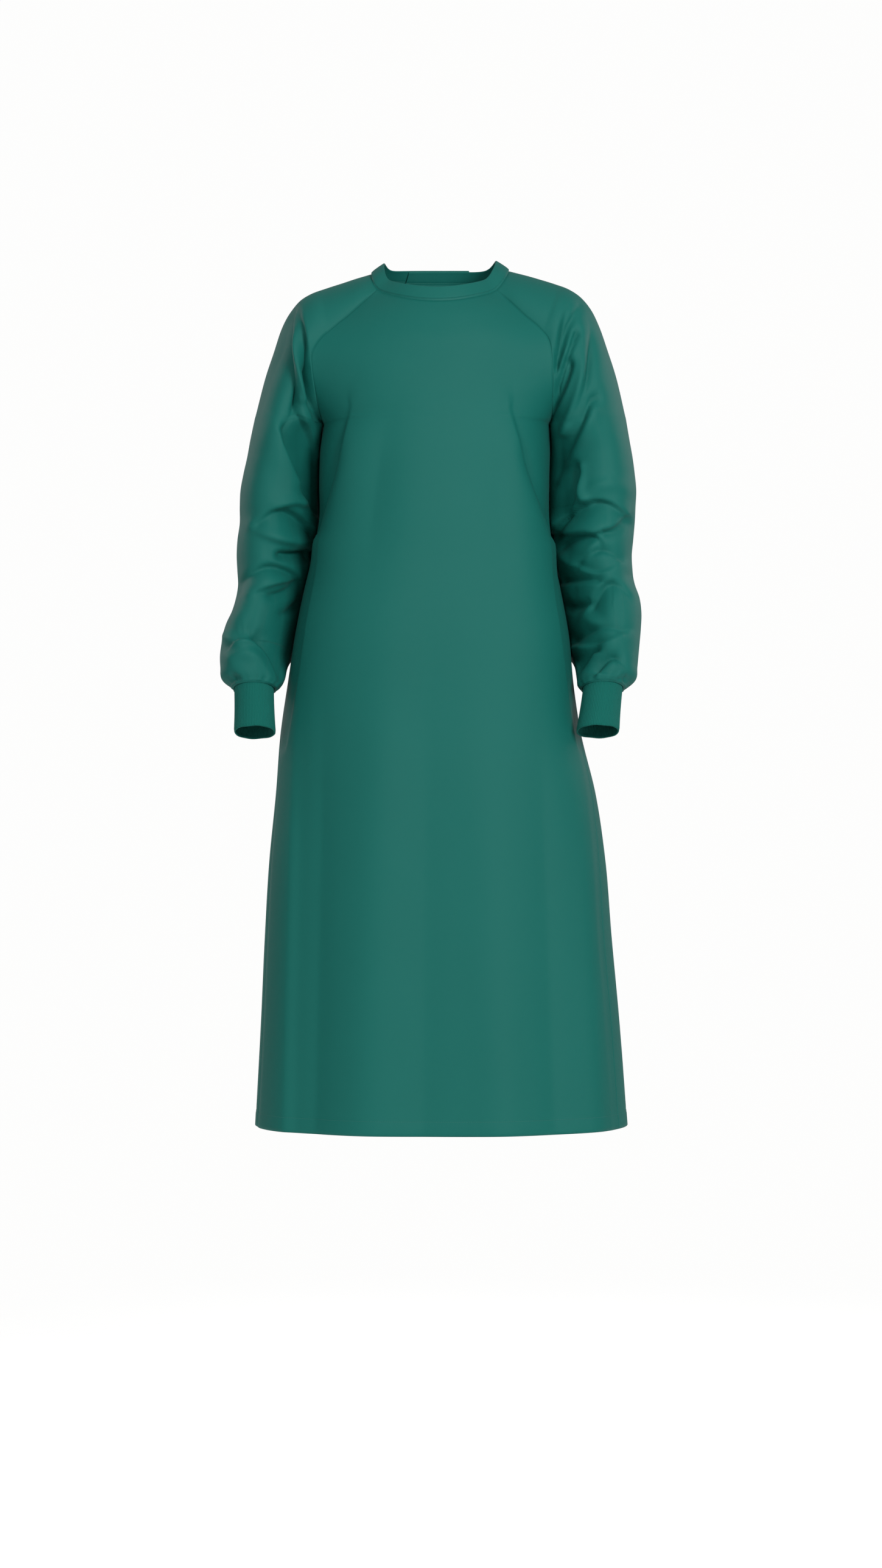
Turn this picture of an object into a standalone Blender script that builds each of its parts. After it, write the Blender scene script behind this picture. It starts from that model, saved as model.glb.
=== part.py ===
"""A long-sleeved surgical gown, held in the hollow form it has when worn.

The gown is cut as a front, two backs that lap at the centre back, two raglan sleeves, two rib
knit cuffs, a neck band and two tape ties. Each piece is a thin wall between an outer surface and
the same surface moved in. Neighbouring pieces share the points of their seam.

Tables and sizes are in millimetres, and each mesh is written in metres. The front faces -Y, and
+Z is up. The origin is on the centre line, level with the top of the neck band at the shoulders.
Left and right are as seen from the front, so left is -X.
"""

import math

import bmesh
import bpy
import numpy as np

METRES = 0.001

# Cloth
WALL = 1.5
BAND_WALL = 2.4
CUFF_WALL = 2.0
HEM_EXTRA = 0.8
SEAM_GAP = 0.3

# Columns across each piece
FRONT_COLUMNS = 24
BACK_COLUMNS = 14
SLEEVE_COLUMNS = 24

# How square each section is: 2 is an ellipse, more is squarer
BODY_SQUARENESS = 2.3

# Each side seam lies this many degrees in front of the side, less above SEAM_FORWARD_WHOLE and
# none above SEAM_FORWARD_FROM
SEAM_FORWARD = {"left": 11.0, "right": 20.0}
SEAM_FORWARD_FROM = -240.0
SEAM_FORWARD_WHOLE = -900.0

# Neck band
BAND_RISE = 16.0
BAND_SIDE_FALL = 5.5
BAND_LEAN_IN = 7.0
BAND_SIDE_LEAN_IN = 8.5
BAND_PROUD = 0.4

# Back opening: half the lap at the neck and at the hem, and how far in the lower flap lies
LAP_AT_NECK = 45.0
LAP_AT_HEM = 85.0
LAP_DEPTH = WALL + 1.8
LAP_RAMP = 45.0

# Below the underarm the inside of a sleeve lies this much further back than its middle, and behind
# the body's side it follows the body by this share, this far clear of it
INNER_BACK = 34.0
SLEEVE_HUG = 0.93
SLEEVE_CLEARANCE = 2.0

# Cuffs
CUFF_RIBS = 60
POINTS_PER_RIB = 2
RIB_HEIGHT = 0.5
CUFF_INNER_POINTS = 30
CUFF_LEAN = 16.0
# The sleeve's gathered end is this much wider than the cuff all round
CUFF_JOIN = 0.9

# Tape ties
TAPE_WIDTH = 12.0
TAPE_THICKNESS = 1.2
TAPE_CLEARANCE = 0.6
TAPE_STEPS = 2
TAPE_GUIDE_COLUMNS = 60
KNOT_SIZE = (18.0, 9.0, 15.0)

# Each tie: row and x of its knot, then its four tapes, from the knot out, as rows and x
TIES = {
    "neck_tie": (
        0.85,
        64,
        (
            ((0.85, 62), (0.8, 48), (0.75, 24)),
            ((0.85, 66), (0.9, 76), (0.95, 86)),
            ((0.95, 61), (1.8, 56), (3.0, 53), (4.2, 55)),
            ((0.95, 67), (1.7, 73), (2.6, 77), (3.5, 76)),
        ),
    ),
    "waist_tie": (
        14.75,
        98,
        (
            ((14.75, 96), (14.7, 74), (14.65, 44)),
            ((14.75, 100), (14.7, 112), (14.65, 125)),
            ((14.8, 95), (15.8, 90), (17.0, 87), (17.9, 90)),
            ((14.8, 101), (15.6, 108), (16.5, 112), (17.3, 110)),
        ),
    ),
}

# Last row of the armhole, where front, back and sleeve meet under the arm
UNDERARM = 10

# Front armhole seam from neck to underarm: left x, right x, y, z
FRONT_SEAM = (
    (-82, 74, -41, -37),
    (-100, 93, -54, -54),
    (-120, 112, -63, -73),
    (-140, 131, -69, -90),
    (-157, 143, -72, -106),
    (-167, 147, -73, -124),
    (-167, 148, -71, -146),
    (-164, 149, -64, -168),
    (-160, 149, -50, -189),
    (-156, 148, -27, -205),
    (-154, 146, 0, -212),
)

# Back armhole seam from neck to underarm: left x, right x, y, z
BACK_SEAM = (
    (-79, 76, 45, -15),
    (-98, 95, 58, -34),
    (-118, 114, 67, -54),
    (-138, 133, 73, -75),
    (-154, 147, 77, -96),
    (-165, 154, 79, -118),
    (-167, 155, 77, -142),
    (-165, 153, 69, -166),
    (-161, 151, 53, -188),
    (-157, 149, 28, -205),
    (-154, 146, 0, -212),
)

# Top of the shoulder and outside of the arm for the same stations:
# left x and z, right x and z, half depth of the sleeve, squareness of the arch
SHOULDER = (
    (-89, -9, 91, -5, 43, 2.0),
    (-108, -14.8, 111, -10.4, 56, 1.9),
    (-128, -21.5, 131, -16.1, 65, 1.9),
    (-150, -28.7, 153, -22.9, 71, 1.9),
    (-170, -36.2, 172, -30.2, 75.5, 2.0),
    (-186, -46.4, 188, -41, 78, 2.0),
    (-200, -62.5, 202, -58, 79, 2.0),
    (-211, -84, 213, -81, 79, 2.0),
    (-221, -114, 223, -110, 79, 2.0),
    (-233, -151, 236, -151, 78.5, 2.0),
    (-246, -203, 248, -203, 78, 2.0),
)

# Centre front for the same stations: y, z, flatness of the row across the chest
FRONT_CENTRE = (
    (-80, -55, 1.0),
    (-91, -72, 1.0),
    (-99, -89, 1.0),
    (-105, -106, 0.92),
    (-109, -124, 0.87),
    (-113, -142, 0.80),
    (-116, -160, 0.82),
    (-118, -177, 0.95),
    (-120, -192, 1.2),
    (-121, -204, 1.7),
    (-122, -212, 2.3),
)

# Centre back for the same stations: y, z, flatness
BACK_CENTRE = (
    (66, -14, 1.0),
    (80, -34, 1.0),
    (91, -56, 1.0),
    (99, -78, 1.0),
    (105, -99, 0.95),
    (109, -120, 0.9),
    (112, -142, 0.85),
    (114, -164, 0.9),
    (114.5, -184, 1.1),
    (114.5, -200, 1.6),
    (114, -212, 2.3),
)

# Body below the underarm: z, left half width, right half width, front depth, back depth
BODY = (
    (-240, 158, 147, 125, 115),
    (-285, 160, 146, 128, 116),
    (-335, 160, 146, 131, 117),
    (-385, 169, 152, 133, 119),
    (-435, 181, 162, 136, 121),
    (-490, 192, 172, 139, 125),
    (-550, 201, 178, 142, 130),
    (-620, 211, 189, 146, 136),
    (-700, 217, 208, 151, 143),
    (-790, 226, 221, 157, 151),
    (-890, 232, 229, 163, 160),
    (-1000, 237, 239, 170, 170),
    (-1119, 243.4, 247.9, 177, 181),
    (-1121, 243.5, 248, 177.1, 181.2),
    (-1140, 244.5, 249.5, 178, 182.5),
)

# Sleeve below the underarm:
# z, left outer x, left inner x, right outer x, right inner x, centre y, half depth, lean forward
SLEEVE = (
    (-232, -252, -163, 253, 149, 1, 78, 0),
    (-254, -256, -163, 257, 149, 2, 77, 0),
    (-276, -261, -163, 260, 149, 3, 76, 0),
    (-298, -265, -163, 262, 149, 3, 75, 0),
    (-320, -266, -163, 261, 149, 3, 74, 1),
    (-342, -266, -164, 260, 149, 3, 72, 2),
    (-364, -269, -167, 258, 151, 2, 70, 3),
    (-385, -270, -172, 256, 155, 1, 68, 5),
    (-405, -269, -178, 257, 160, -1, 66, 7),
    (-425, -268, -183, 260, 165, -4, 65, 9),
    (-444, -271, -188, 266, 169, -8, 64, 11),
    (-463, -276, -192, 268, 172, -13, 63, 13),
    (-482, -284, -195, 267, 175, -19, 62, 15),
    (-501, -288, -198, 265, 177, -26, 60, 16),
    (-519, -290, -200, 263, 179, -33, 57, 16),
    (-536, -289, -202, 261, 180, -41, 53, 16),
    (-550, -287, -204, 259, 181, -48, 47, 16),
    (-559, -275, -209, 248, 182, -55, 39, 16),
)

# Top and bottom of each cuff: x, y and z of its centre, half width, half depth
CUFF = {
    "left": ((-243.5, -61, -564, 26.0, 31.0), (-241.5, -78, -621, 27.5, 32.0)),
    "right": ((214.5, -61, -563, 26.0, 31.0), (207.0, -78, -620, 28.5, 32.0)),
}

# Largest folds of each sleeve: angle and z where it starts and ends, half width, height.
# The angle runs from 0 on the outside through 90 in front to 180 under the arm, and a negative
# height is a valley.
SLEEVE_FOLDS = {
    "left": (
        (48, -70, 92, -235, 10, -3.5),
        (66, -75, 110, -200, 8, 2.5),
        (88, -215, 128, -310, 11, -3.5),
        (60, -320, 140, -345, 9, 3.0),
        (58, -336, 150, -362, 9, -3.5),
        (70, -384, 160, -378, 9, -3.5),
        (20, -428, 110, -412, 9, 3.0),
        (-30, -432, 40, -436, 11, -3.5),
        (60, -452, 130, -438, 9, -3.0),
        (0, -500, 125, -528, 10, -4.0),
        (-60, -100, -110, -240, 12, -3.5),
        (-50, -345, -150, -372, 10, -3.5),
        (-40, -400, -140, -388, 10, 3.0),
        (-20, -470, -120, -490, 10, -3.5),
    ),
    "right": (
        (62, -70, 104, -175, 8, -3.5),
        (46, -75, 80, -205, 9, -3.5),
        (58, -178, 105, -262, 10, -3.5),
        (70, -220, 112, -240, 10, 2.5),
        (78, -275, 128, -330, 11, -4.0),
        (20, -326, 150, -334, 9, -4.0),
        (30, -340, 150, -348, 9, 3.0),
        (70, -362, 150, -366, 9, -3.5),
        (-20, -411, 40, -408, 11, -3.5),
        (70, -416, 150, -420, 10, -3.5),
        (10, -432, 80, -446, 10, 3.0),
        (40, -486, 130, -506, 10, -3.5),
        (10, -526, 90, -538, 9, -3.0),
        (-55, -110, -105, -250, 12, -3.5),
        (-40, -352, -150, -362, 10, -3.5),
        (-30, -430, -140, -452, 10, 3.0),
        (-20, -498, -120, -512, 10, -3.5),
    ),
}

# Folds of the front: x and z where each starts and ends, half width, height
FRONT_FOLDS = (
    (-116, -188, -160, -360, 13, 3.5),
    (-112, -215, -146, -360, 13, -3.5),
    (92, -192, 146, -365, 13, 3.5),
    (104, -220, 138, -360, 13, -3.5),
    (-196, -700, -196, -1140, 22, 4.0),
    (-150, -560, -152, -1140, 30, -3.0),
    (-70, -480, -86, -1140, 34, 3.0),
    (60, -520, 82, -1140, 34, 3.5),
    (150, -600, 162, -1140, 26, -3.0),
)

# Folds of the back: x and z where each starts and ends, half width, height
BACK_FOLDS = (
    (-120, -190, -60, -400, 16, -3.0),
    (120, -190, 85, -400, 16, -3.0),
    (-180, -640, -188, -1140, 26, 5.0),
    (-120, -520, -128, -1140, 28, -5.0),
    (-50, -460, -62, -1140, 26, 4.0),
    (70, -500, 96, -1140, 26, -4.0),
    (130, -520, 140, -1140, 28, 5.0),
    (190, -680, 196, -1140, 24, -4.0),
)


def unit(vectors):
    """Each vector at length 1."""
    vectors = np.asarray(vectors, float)
    length = np.linalg.norm(vectors, axis=-1, keepdims=True)
    return vectors / np.maximum(length, 1e-9)


def smoothstep(value, low, high):
    share = np.clip((value - low) / (high - low), 0.0, 1.0)
    return share * share * (3.0 - 2.0 * share)


def power(value, exponent):
    """A power that keeps the sign."""
    return np.sign(value) * np.abs(value) ** exponent


def lift_along(table, across, down):
    """Height of a table of folds at each place: across and down are the table's own two axes."""
    total = np.zeros_like(across)
    for start_across, start_down, end_across, end_down, half_width, height in table:
        run = np.array((end_across - start_across, end_down - start_down), float)
        length = np.hypot(*run)
        along = ((across - start_across) * run[0] + (down - start_down) * run[1]) / length**2
        aside = ((across - start_across) * run[1] - (down - start_down) * run[0]) / length
        taper = smoothstep(along, -0.12, 0.25) * smoothstep(-along, -1.12, -0.8)
        total += height * taper * np.exp(-((aside / half_width) ** 2))
    return total


def grid_normals(points, closed):
    """Outward normals of a grid of points whose columns run left to right as seen from outside."""
    down = np.gradient(points, axis=0)
    if closed:
        ring = points[:, :-1]
        across = (np.roll(ring, -1, axis=1) - np.roll(ring, 1, axis=1)) / 2
        across = np.concatenate((across, across[:, :1]), axis=1)
    else:
        across = np.gradient(points, axis=1)
    return unit(np.cross(down, across))


def seam_forward(side):
    """Radians that a side seam lies in front of the side, at each row of the body."""
    z = np.array([seam[3] for seam in FRONT_SEAM] + [row[0] for row in BODY], float)
    share = smoothstep(-z, -SEAM_FORWARD_FROM, -SEAM_FORWARD_WHOLE)
    return np.radians(SEAM_FORWARD[side]) * share


def row_across(left, right, seam, centre, beyond_y, angle):
    """Points of one row of a panel. The angle runs from 0 in the middle to a quarter turn at each
    side of the body, where the seam's own y and z are, and on towards beyond_y past that."""
    seam_y, seam_z = seam
    centre_y, centre_z, flat = centre
    share = np.sin(angle)
    bulge = np.clip(1.0 - np.abs(share) ** BODY_SQUARENESS, 0.0, 1.0) ** (1.0 / flat)
    reach = np.where(np.cos(angle) < 0.0, beyond_y - seam_y, centre_y - seam_y)
    x = (left + right) / 2 + (right - left) / 2 * share
    z = seam_z + (centre_z - seam_z) * (1.0 - share**2)
    return np.stack((x, seam_y + reach * bulge, z), axis=-1)


def panel_rows(seam_table, centre_table, facing, angles):
    """Rows of the front or of the back: each row's own angles, from the neck to the hem."""
    rows = []
    for (left, right, y, z), centre, angle in zip(seam_table, centre_table, angles):
        rows.append(row_across(left, right, (y, z), centre, y, angle))
    for row, angle in zip(BODY, angles[len(seam_table) :]):
        z, left, right, front, back = row
        own, other = (-front, back) if facing < 0 else (back, -front)
        centre = (own, z, BODY_SQUARENESS)
        rows.append(row_across(-left, right, (0.0, z), centre, other, angle))
    return np.array(rows)


def add_folds(points, normals, table, edges):
    """The panel with its folds raised, flat again at the side seams and below the neck."""
    across, down = points[..., 0], points[..., 2]
    lift = lift_along(table, across, down)
    return points + normals * (lift * edges)[..., None]


def front_panel():
    quarter = math.pi / 2
    starts, ends = -quarter + seam_forward("left"), quarter - seam_forward("right")
    angles = np.linspace(starts, ends, FRONT_COLUMNS + 1, axis=1)
    points = panel_rows(FRONT_SEAM, FRONT_CENTRE, -1, angles)
    from_seam = np.degrees(np.minimum(angles - starts[:, None], ends[:, None] - angles))
    edges = smoothstep(from_seam, 0.0, 14.0)
    return add_folds(points, grid_normals(points, False), FRONT_FOLDS, edges)


def back_half_widths():
    """Half width of the back at each of its rows."""
    upper = [(right - left) / 2 for left, right, _, _ in BACK_SEAM]
    return np.array(upper + [(left + right) / 2 for _, left, right, _, _ in BODY])


def back_panel(side):
    """One back, from its side seam past the centre. Seen from behind, columns run left to right,
    so the right back starts at its seam and the left back at its free edge."""
    half = back_half_widths()
    lap = np.interp(np.arange(len(half)), (0, len(half) - 1), (LAP_AT_NECK, LAP_AT_HEM))
    past_centre = np.arcsin(lap / half)
    seam = math.pi / 2 + seam_forward("left" if side < 0 else "right")
    angles = np.linspace(seam, -past_centre, BACK_COLUMNS + 1, axis=1)
    from_seam = np.degrees(seam[:, None] - angles)
    if side < 0:
        angles, from_seam = -angles[:, ::-1], from_seam[:, ::-1]
    points = panel_rows(BACK_SEAM, BACK_CENTRE, 1, angles)
    normals = grid_normals(points, False)
    edges = smoothstep(from_seam, 0.0, 16.0)
    points = add_folds(points, normals, BACK_FOLDS, edges)
    if side > 0:
        beyond = np.sin(angles) * half[:, None] - lap[:, None]
        away = 1.0 - smoothstep(beyond, 4.0, LAP_RAMP)
        depth = LAP_DEPTH * np.where(from_seam < 45.0, 0.0, away)
        points = points - normals * depth[..., None]
    return points


def arch(front, back, top, half_depth, square):
    """Sleeve points from the front seam over the top of the shoulder to the back seam."""
    front, back, top = (np.array(p, float) for p in (front, back, top))
    middle = (front + back) / 2
    chord = np.linalg.norm(front - back) / 2
    forward = unit(front - back) if chord > 1.0 else np.array((0.0, -1.0, 0.0))
    reach = math.pi / 2
    if half_depth > chord:
        reach = math.pi - math.asin(chord / half_depth)
    half_depth = max(half_depth, chord)
    out = (top - middle) / (1.0 - math.cos(reach))
    centre = top - out
    angle = np.linspace(reach, -reach, SLEEVE_COLUMNS + 1)
    x = power(np.cos(angle), 2.0 / square)[:, None]
    y = power(np.sin(angle), 2.0 / square)[:, None]
    return centre + x * out + y * half_depth * forward, angle


def body_half_width(side, y, z):
    """Half width of the body at one side, at a depth y and a height z."""
    table = np.array(((-212, 154, 146, 122, 114),) + BODY, float)[::-1]
    left, right, front, back = (np.interp(z, table[:, 0], table[:, i]) for i in (1, 2, 3, 4))
    depth = np.where(y < 0, front, back)
    inside = np.clip(1.0 - np.abs(y / depth) ** BODY_SQUARENESS, 0.0, 1.0)
    middle, half = (right - left) / 2, (right + left) / 2
    return half * inside ** (1.0 / BODY_SQUARENESS) + side * middle


def ring(centre, out, forward):
    angle = np.linspace(math.pi, -math.pi, SLEEVE_COLUMNS + 1)
    x, y = np.cos(angle)[:, None], np.sin(angle)[:, None]
    points = np.array(centre) + x * np.array(out) + y * np.array(forward)
    points[-1] = points[0]
    return points, angle


def cuff_axes(side, end):
    """Centre, sideways and forward half axes of one end of a cuff: end 0 is its top."""
    x, y, z, half_width, half_depth = CUFF[side][end]
    lean = math.radians(CUFF_LEAN)
    out = -half_width if side == "left" else half_width
    forward = half_depth * np.array((0.0, -math.cos(lean), math.sin(lean)))
    return np.array((x, y, z)), np.array((out, 0.0, 0.0)), forward


def sleeve_tube(side):
    """A raglan sleeve: arches over the shoulder, then rings down to the cuff."""
    sign = -1 if side == "left" else 1
    column = 0 if side == "left" else 1
    rows, angles = [], []
    for front, back, top in zip(FRONT_SEAM, BACK_SEAM, SHOULDER):
        top_x, top_z = top[2 * column : 2 * column + 2]
        points, angle = arch(
            (front[column], *front[2:]), (back[column], *back[2:]), (top_x, 0.0, top_z), *top[4:]
        )
        rows.append(points)
        angles.append(angle)
    for z, left_out, left_in, right_out, right_in, y, half_depth, lean in SLEEVE:
        outer, inner = (left_out, left_in) if side == "left" else (right_out, right_in)
        tilt = math.radians(lean)
        forward = half_depth * np.array((0.0, -math.cos(tilt), math.sin(tilt)))
        points, angle = ring(((outer + inner) / 2, y, z), ((outer - inner) / 2, 0.0, 0.0), forward)
        rows.append(points)
        angles.append(angle)
    centre, out, forward = cuff_axes(side, 0)
    out *= 1 + CUFF_JOIN / np.linalg.norm(out)
    forward *= 1 + CUFF_JOIN / np.linalg.norm(forward)
    end, angle = ring(centre, out, forward)
    rows.append(end)
    angles.append(angle)
    points = lie_along_body(np.array(rows), np.array(angles), sign)
    angles = np.degrees(np.array(angles))
    if side == "left":
        points, angles = points[:, ::-1], angles[:, ::-1]
    around = np.arange(len(points))[:, None]
    ends = smoothstep(around, 0.5, 3.0) * smoothstep(len(points) - 1 - around, 0.0, 2.0)
    seams = 1.0 - smoothstep(np.abs(angles), 150.0, 178.0)
    lift = sleeve_lift(side, points, angles) * ends * seams
    points = points + grid_normals(points, False) * lift[..., None]
    return keep_clear_of_body(points, sign)


def sleeve_lift(side, points, angles):
    """Height of the sleeve's folds, whose table gives degrees round and millimetres down."""
    degrees_to_mm = 1.15
    table = [
        (start * degrees_to_mm, top, end * degrees_to_mm, low, half_width, height)
        for start, top, end, low, half_width, height in SLEEVE_FOLDS[side]
    ]
    return lift_along(table, angles * degrees_to_mm, points[..., 2])


def lie_along_body(points, angles, sign):
    """A sleeve whose rings have their inside moved back and, behind the body's side, drawn to it."""
    x, y, z = np.moveaxis(points, -1, 0)
    inner = (1.0 - np.cos(angles)) / 2
    share = smoothstep(-z, 212.0, 255.0) * (1.0 - smoothstep(-z, 515.0, 560.0))
    y = y + INNER_BACK * share * inner**2
    out, beside = sign * x, body_half_width(sign, y, z) + SLEEVE_CLEARANCE
    hug = SLEEVE_HUG * share * smoothstep(inner, 0.45, 0.75)
    hug *= smoothstep(y, -25.0, 15.0) * (1.0 - smoothstep(y, 50.0, 85.0))
    return np.stack((sign * (out + (beside - out) * hug), y, z), axis=-1)


def keep_clear_of_body(points, sign):
    """The part of a sleeve under the arm, moved out to hang just clear of the body."""
    lower = points[UNDERARM:].copy()
    rows = np.arange(len(lower))[:, None]
    gap = SEAM_GAP + (SLEEVE_CLEARANCE - SEAM_GAP) * smoothstep(rows, 0.0, 2.0)
    least = body_half_width(sign, lower[..., 1], lower[..., 2]) + gap
    lower[..., 0] = sign * np.maximum(sign * lower[..., 0], least)
    return np.concatenate((points[:UNDERARM], lower))


def pull_edge(points, rows, column, step):
    """An edge column moved in from its seam by half the gap."""
    inward = unit(points[rows, column + step] - points[rows, column])
    points[rows, column] += inward * SEAM_GAP / 2


def pull_top(points):
    points[0] += unit(points[1] - points[0]) * SEAM_GAP / 2


def build_wall(name, outer, inner, collection, material, first_closed=None):
    """One closed body between two grids of points. Rows from first_closed on are rings."""
    rows, columns = outer.shape[:2]
    mesh = bmesh.new()
    grids = []
    for points in (outer, inner):
        grids.append([[mesh.verts.new(p * METRES) for p in row] for row in points])
    front, back = grids
    for i in range(rows - 1):
        for j in range(columns - 1):
            mesh.faces.new((front[i][j], front[i + 1][j], front[i + 1][j + 1], front[i][j + 1]))
            mesh.faces.new((back[i][j], back[i][j + 1], back[i + 1][j + 1], back[i + 1][j]))
    for j in range(columns - 1):
        mesh.faces.new((front[0][j], front[0][j + 1], back[0][j + 1], back[0][j]))
        mesh.faces.new((front[-1][j], back[-1][j], back[-1][j + 1], front[-1][j + 1]))
    open_rows = rows - 1 if first_closed is None else first_closed
    for i in range(open_rows):
        mesh.faces.new((front[i][0], back[i][0], back[i + 1][0], front[i + 1][0]))
        mesh.faces.new((front[i][-1], front[i + 1][-1], back[i + 1][-1], back[i][-1]))
    bmesh.ops.remove_doubles(mesh, verts=mesh.verts, dist=0.00001)
    return finish_mesh(mesh, name, collection, material)


def finish_mesh(mesh, name, collection, material):
    bmesh.ops.recalc_face_normals(mesh, faces=mesh.faces)
    data = bpy.data.meshes.new(name)
    mesh.to_mesh(data)
    mesh.free()
    data.materials.append(material)
    data.shade_smooth()
    data.set_sharp_from_angle(angle=math.radians(50))
    thing = bpy.data.objects.new(name, data)
    collection.objects.link(thing)
    return thing


def share_normals(first, first_place, second, second_place, weight):
    """Both pieces take the same normals along a seam, so that their walls end edge to edge."""
    both = unit(first[first_place] + second[second_place])
    for normals, place in ((first, first_place), (second, second_place)):
        normals[place] = unit(normals[place] * (1 - weight) + both * weight)


def cloth_material(name, colour, roughness):
    material = bpy.data.materials.new(name)
    material.use_nodes = True
    shader = material.node_tree.nodes["Principled BSDF"]
    shader.inputs["Base Color"].default_value = (*colour, 1.0)
    shader.inputs["Roughness"].default_value = roughness
    shader.inputs["Metallic"].default_value = 0.0
    return material


CLOTH_COLOUR = (0.012, 0.125, 0.100)
KNIT_COLOUR = (0.012, 0.115, 0.092)


def neck_band(bottom, outward):
    """Outer points and normals of the band, top edge first, from the points that it is sewn to."""
    level = unit(bottom * (1.0, 1.0, 0.0) - np.array((0.0, -5.0, 0.0)))
    side = (np.abs(bottom[:, :1]) / 90.0) ** 3
    lean = BAND_LEAN_IN + BAND_SIDE_LEAN_IN * side
    rise = BAND_RISE - BAND_SIDE_FALL * side
    base = bottom + outward * BAND_PROUD
    rows = []
    for share in (1.0, 0.5, 0.0):
        up = np.array((0.0, 0.0, 1.0)) * rise * share
        rows.append(base - level * lean * share**1.2 + up)
    points = np.array(rows)
    normals = grid_normals(points, False)
    normals[-1] = unit(normals[-1] + outward)
    points[-1] += unit(points[1] - points[2]) * SEAM_GAP / 2
    return points, normals


def cuff(side, collection):
    """A rib knit cuff: ribs raised round the outside of a plain inside."""
    outside_points = CUFF_RIBS * POINTS_PER_RIB
    ratio = outside_points // CUFF_INNER_POINTS
    mesh = bmesh.new()
    outside, inside = [], []
    for share in (0.0, 0.5, 1.0):
        ends = [cuff_axes(side, end) for end in (0, 1)]
        centre, out, forward = (a + (b - a) * share for a, b in zip(*ends))
        for ring_points, count, thickness, ribs in (
            (outside, outside_points, 0.0, RIB_HEIGHT),
            (inside, CUFF_INNER_POINTS, CUFF_WALL, 0.0),
        ):
            row = []
            for k in range(count):
                angle = 2 * math.pi * k / count
                valley = ribs * (k % POINTS_PER_RIB)
                width = 1 - (thickness + valley) / np.linalg.norm(out)
                depth = 1 - (thickness + valley) / np.linalg.norm(forward)
                place = centre + out * width * math.cos(angle) + forward * depth * math.sin(angle)
                row.append(mesh.verts.new(place * METRES))
            ring_points.append(row)
    for rings in (outside, inside):
        for upper, lower in zip(rings, rings[1:]):
            count = len(upper)
            for k in range(count):
                after = (k + 1) % count
                mesh.faces.new((upper[k], upper[after], lower[after], lower[k]))
    for outer, inner in ((outside[0], inside[0]), (outside[-1], inside[-1])):
        for k in range(outside_points):
            mesh.faces.new((outer[k], outer[(k + 1) % outside_points], inner[k // ratio]))
        for k in range(CUFF_INNER_POINTS):
            after = (k + 1) % CUFF_INNER_POINTS
            mesh.faces.new((inner[k], outer[(k + 1) * ratio % outside_points], inner[after]))
    finish_mesh(mesh, f"cuff_{side}", collection, cloth_material(f"cuff_{side}", KNIT_COLOUR, 0.75))


def whole_back():
    """The back as one surface with a fine grid, for the tapes that lie on it."""
    angle = np.linspace(math.pi / 2, -math.pi / 2, TAPE_GUIDE_COLUMNS + 1)
    angles = [angle] * (len(BACK_SEAM) + len(BODY))
    points = panel_rows(BACK_SEAM, BACK_CENTRE, 1, angles)
    normals = grid_normals(points, False)
    edges = smoothstep(90.0 - np.abs(np.degrees(angle)), 0.0, 16.0)[None, :]
    points = add_folds(points, normals, BACK_FOLDS, edges)
    return points, grid_normals(points, False)


def on_back(surface, row, x):
    """Place and normal on the back, at a row that may lie between two and at an x."""
    points, normals = surface
    upper = min(int(row), len(points) - 2)
    part = row - upper
    found = []
    for grid in (points, normals):
        both = []
        for index in (upper, upper + 1):
            xs = points[index, ::-1, 0]
            both.append(np.array([np.interp(x, xs, grid[index, ::-1, i]) for i in range(3)]))
        found.append(both[0] * (1 - part) + both[1] * part)
    return found[0], unit(found[1])


def curve_through(table, steps):
    """Points of a smooth curve through a table's rows, a number of steps for each stretch."""
    rows = np.array(table, float)
    ends = np.vstack((2 * rows[0] - rows[1], rows, 2 * rows[-1] - rows[-2]))
    points = []
    for i in range(1, len(ends) - 2):
        before, start, end, after = ends[i - 1 : i + 3]
        for k in range(steps):
            t = k / steps
            points.append(
                0.5
                * (
                    2 * start
                    + (end - before) * t
                    + (2 * before - 5 * start + 4 * end - after) * t**2
                    + (3 * start - before - 3 * end + after) * t**3
                )
            )
    points.append(rows[-1])
    return np.array(points)


def tape(name, table, surface, collection):
    """A flat tape along places on the back, each a row and an x."""
    places = [on_back(surface, row, x) for row, x in curve_through(table, TAPE_STEPS)]
    centres = np.array([place for place, _ in places])
    along = unit(np.gradient(centres, axis=0))
    mesh = bmesh.new()
    sections = []
    for centre, direction, (_, normal) in zip(centres, along, places):
        side = unit(np.cross(normal, direction)) * TAPE_WIDTH / 2
        low = centre + normal * TAPE_CLEARANCE
        high = low + normal * TAPE_THICKNESS
        corners = (low - side, low + side, high + side, high - side)
        sections.append([mesh.verts.new(corner * METRES) for corner in corners])
    for first, second in zip(sections, sections[1:]):
        for k in range(4):
            after = (k + 1) % 4
            mesh.faces.new((first[k], first[after], second[after], second[k]))
    mesh.faces.new(sections[0][::-1])
    mesh.faces.new(sections[-1])
    strand = finish_mesh(mesh, name, collection, cloth_material(name, CLOTH_COLOUR, 0.6))
    strand.hide_render = True
    strand.display_type = "WIRE"
    return strand


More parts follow.
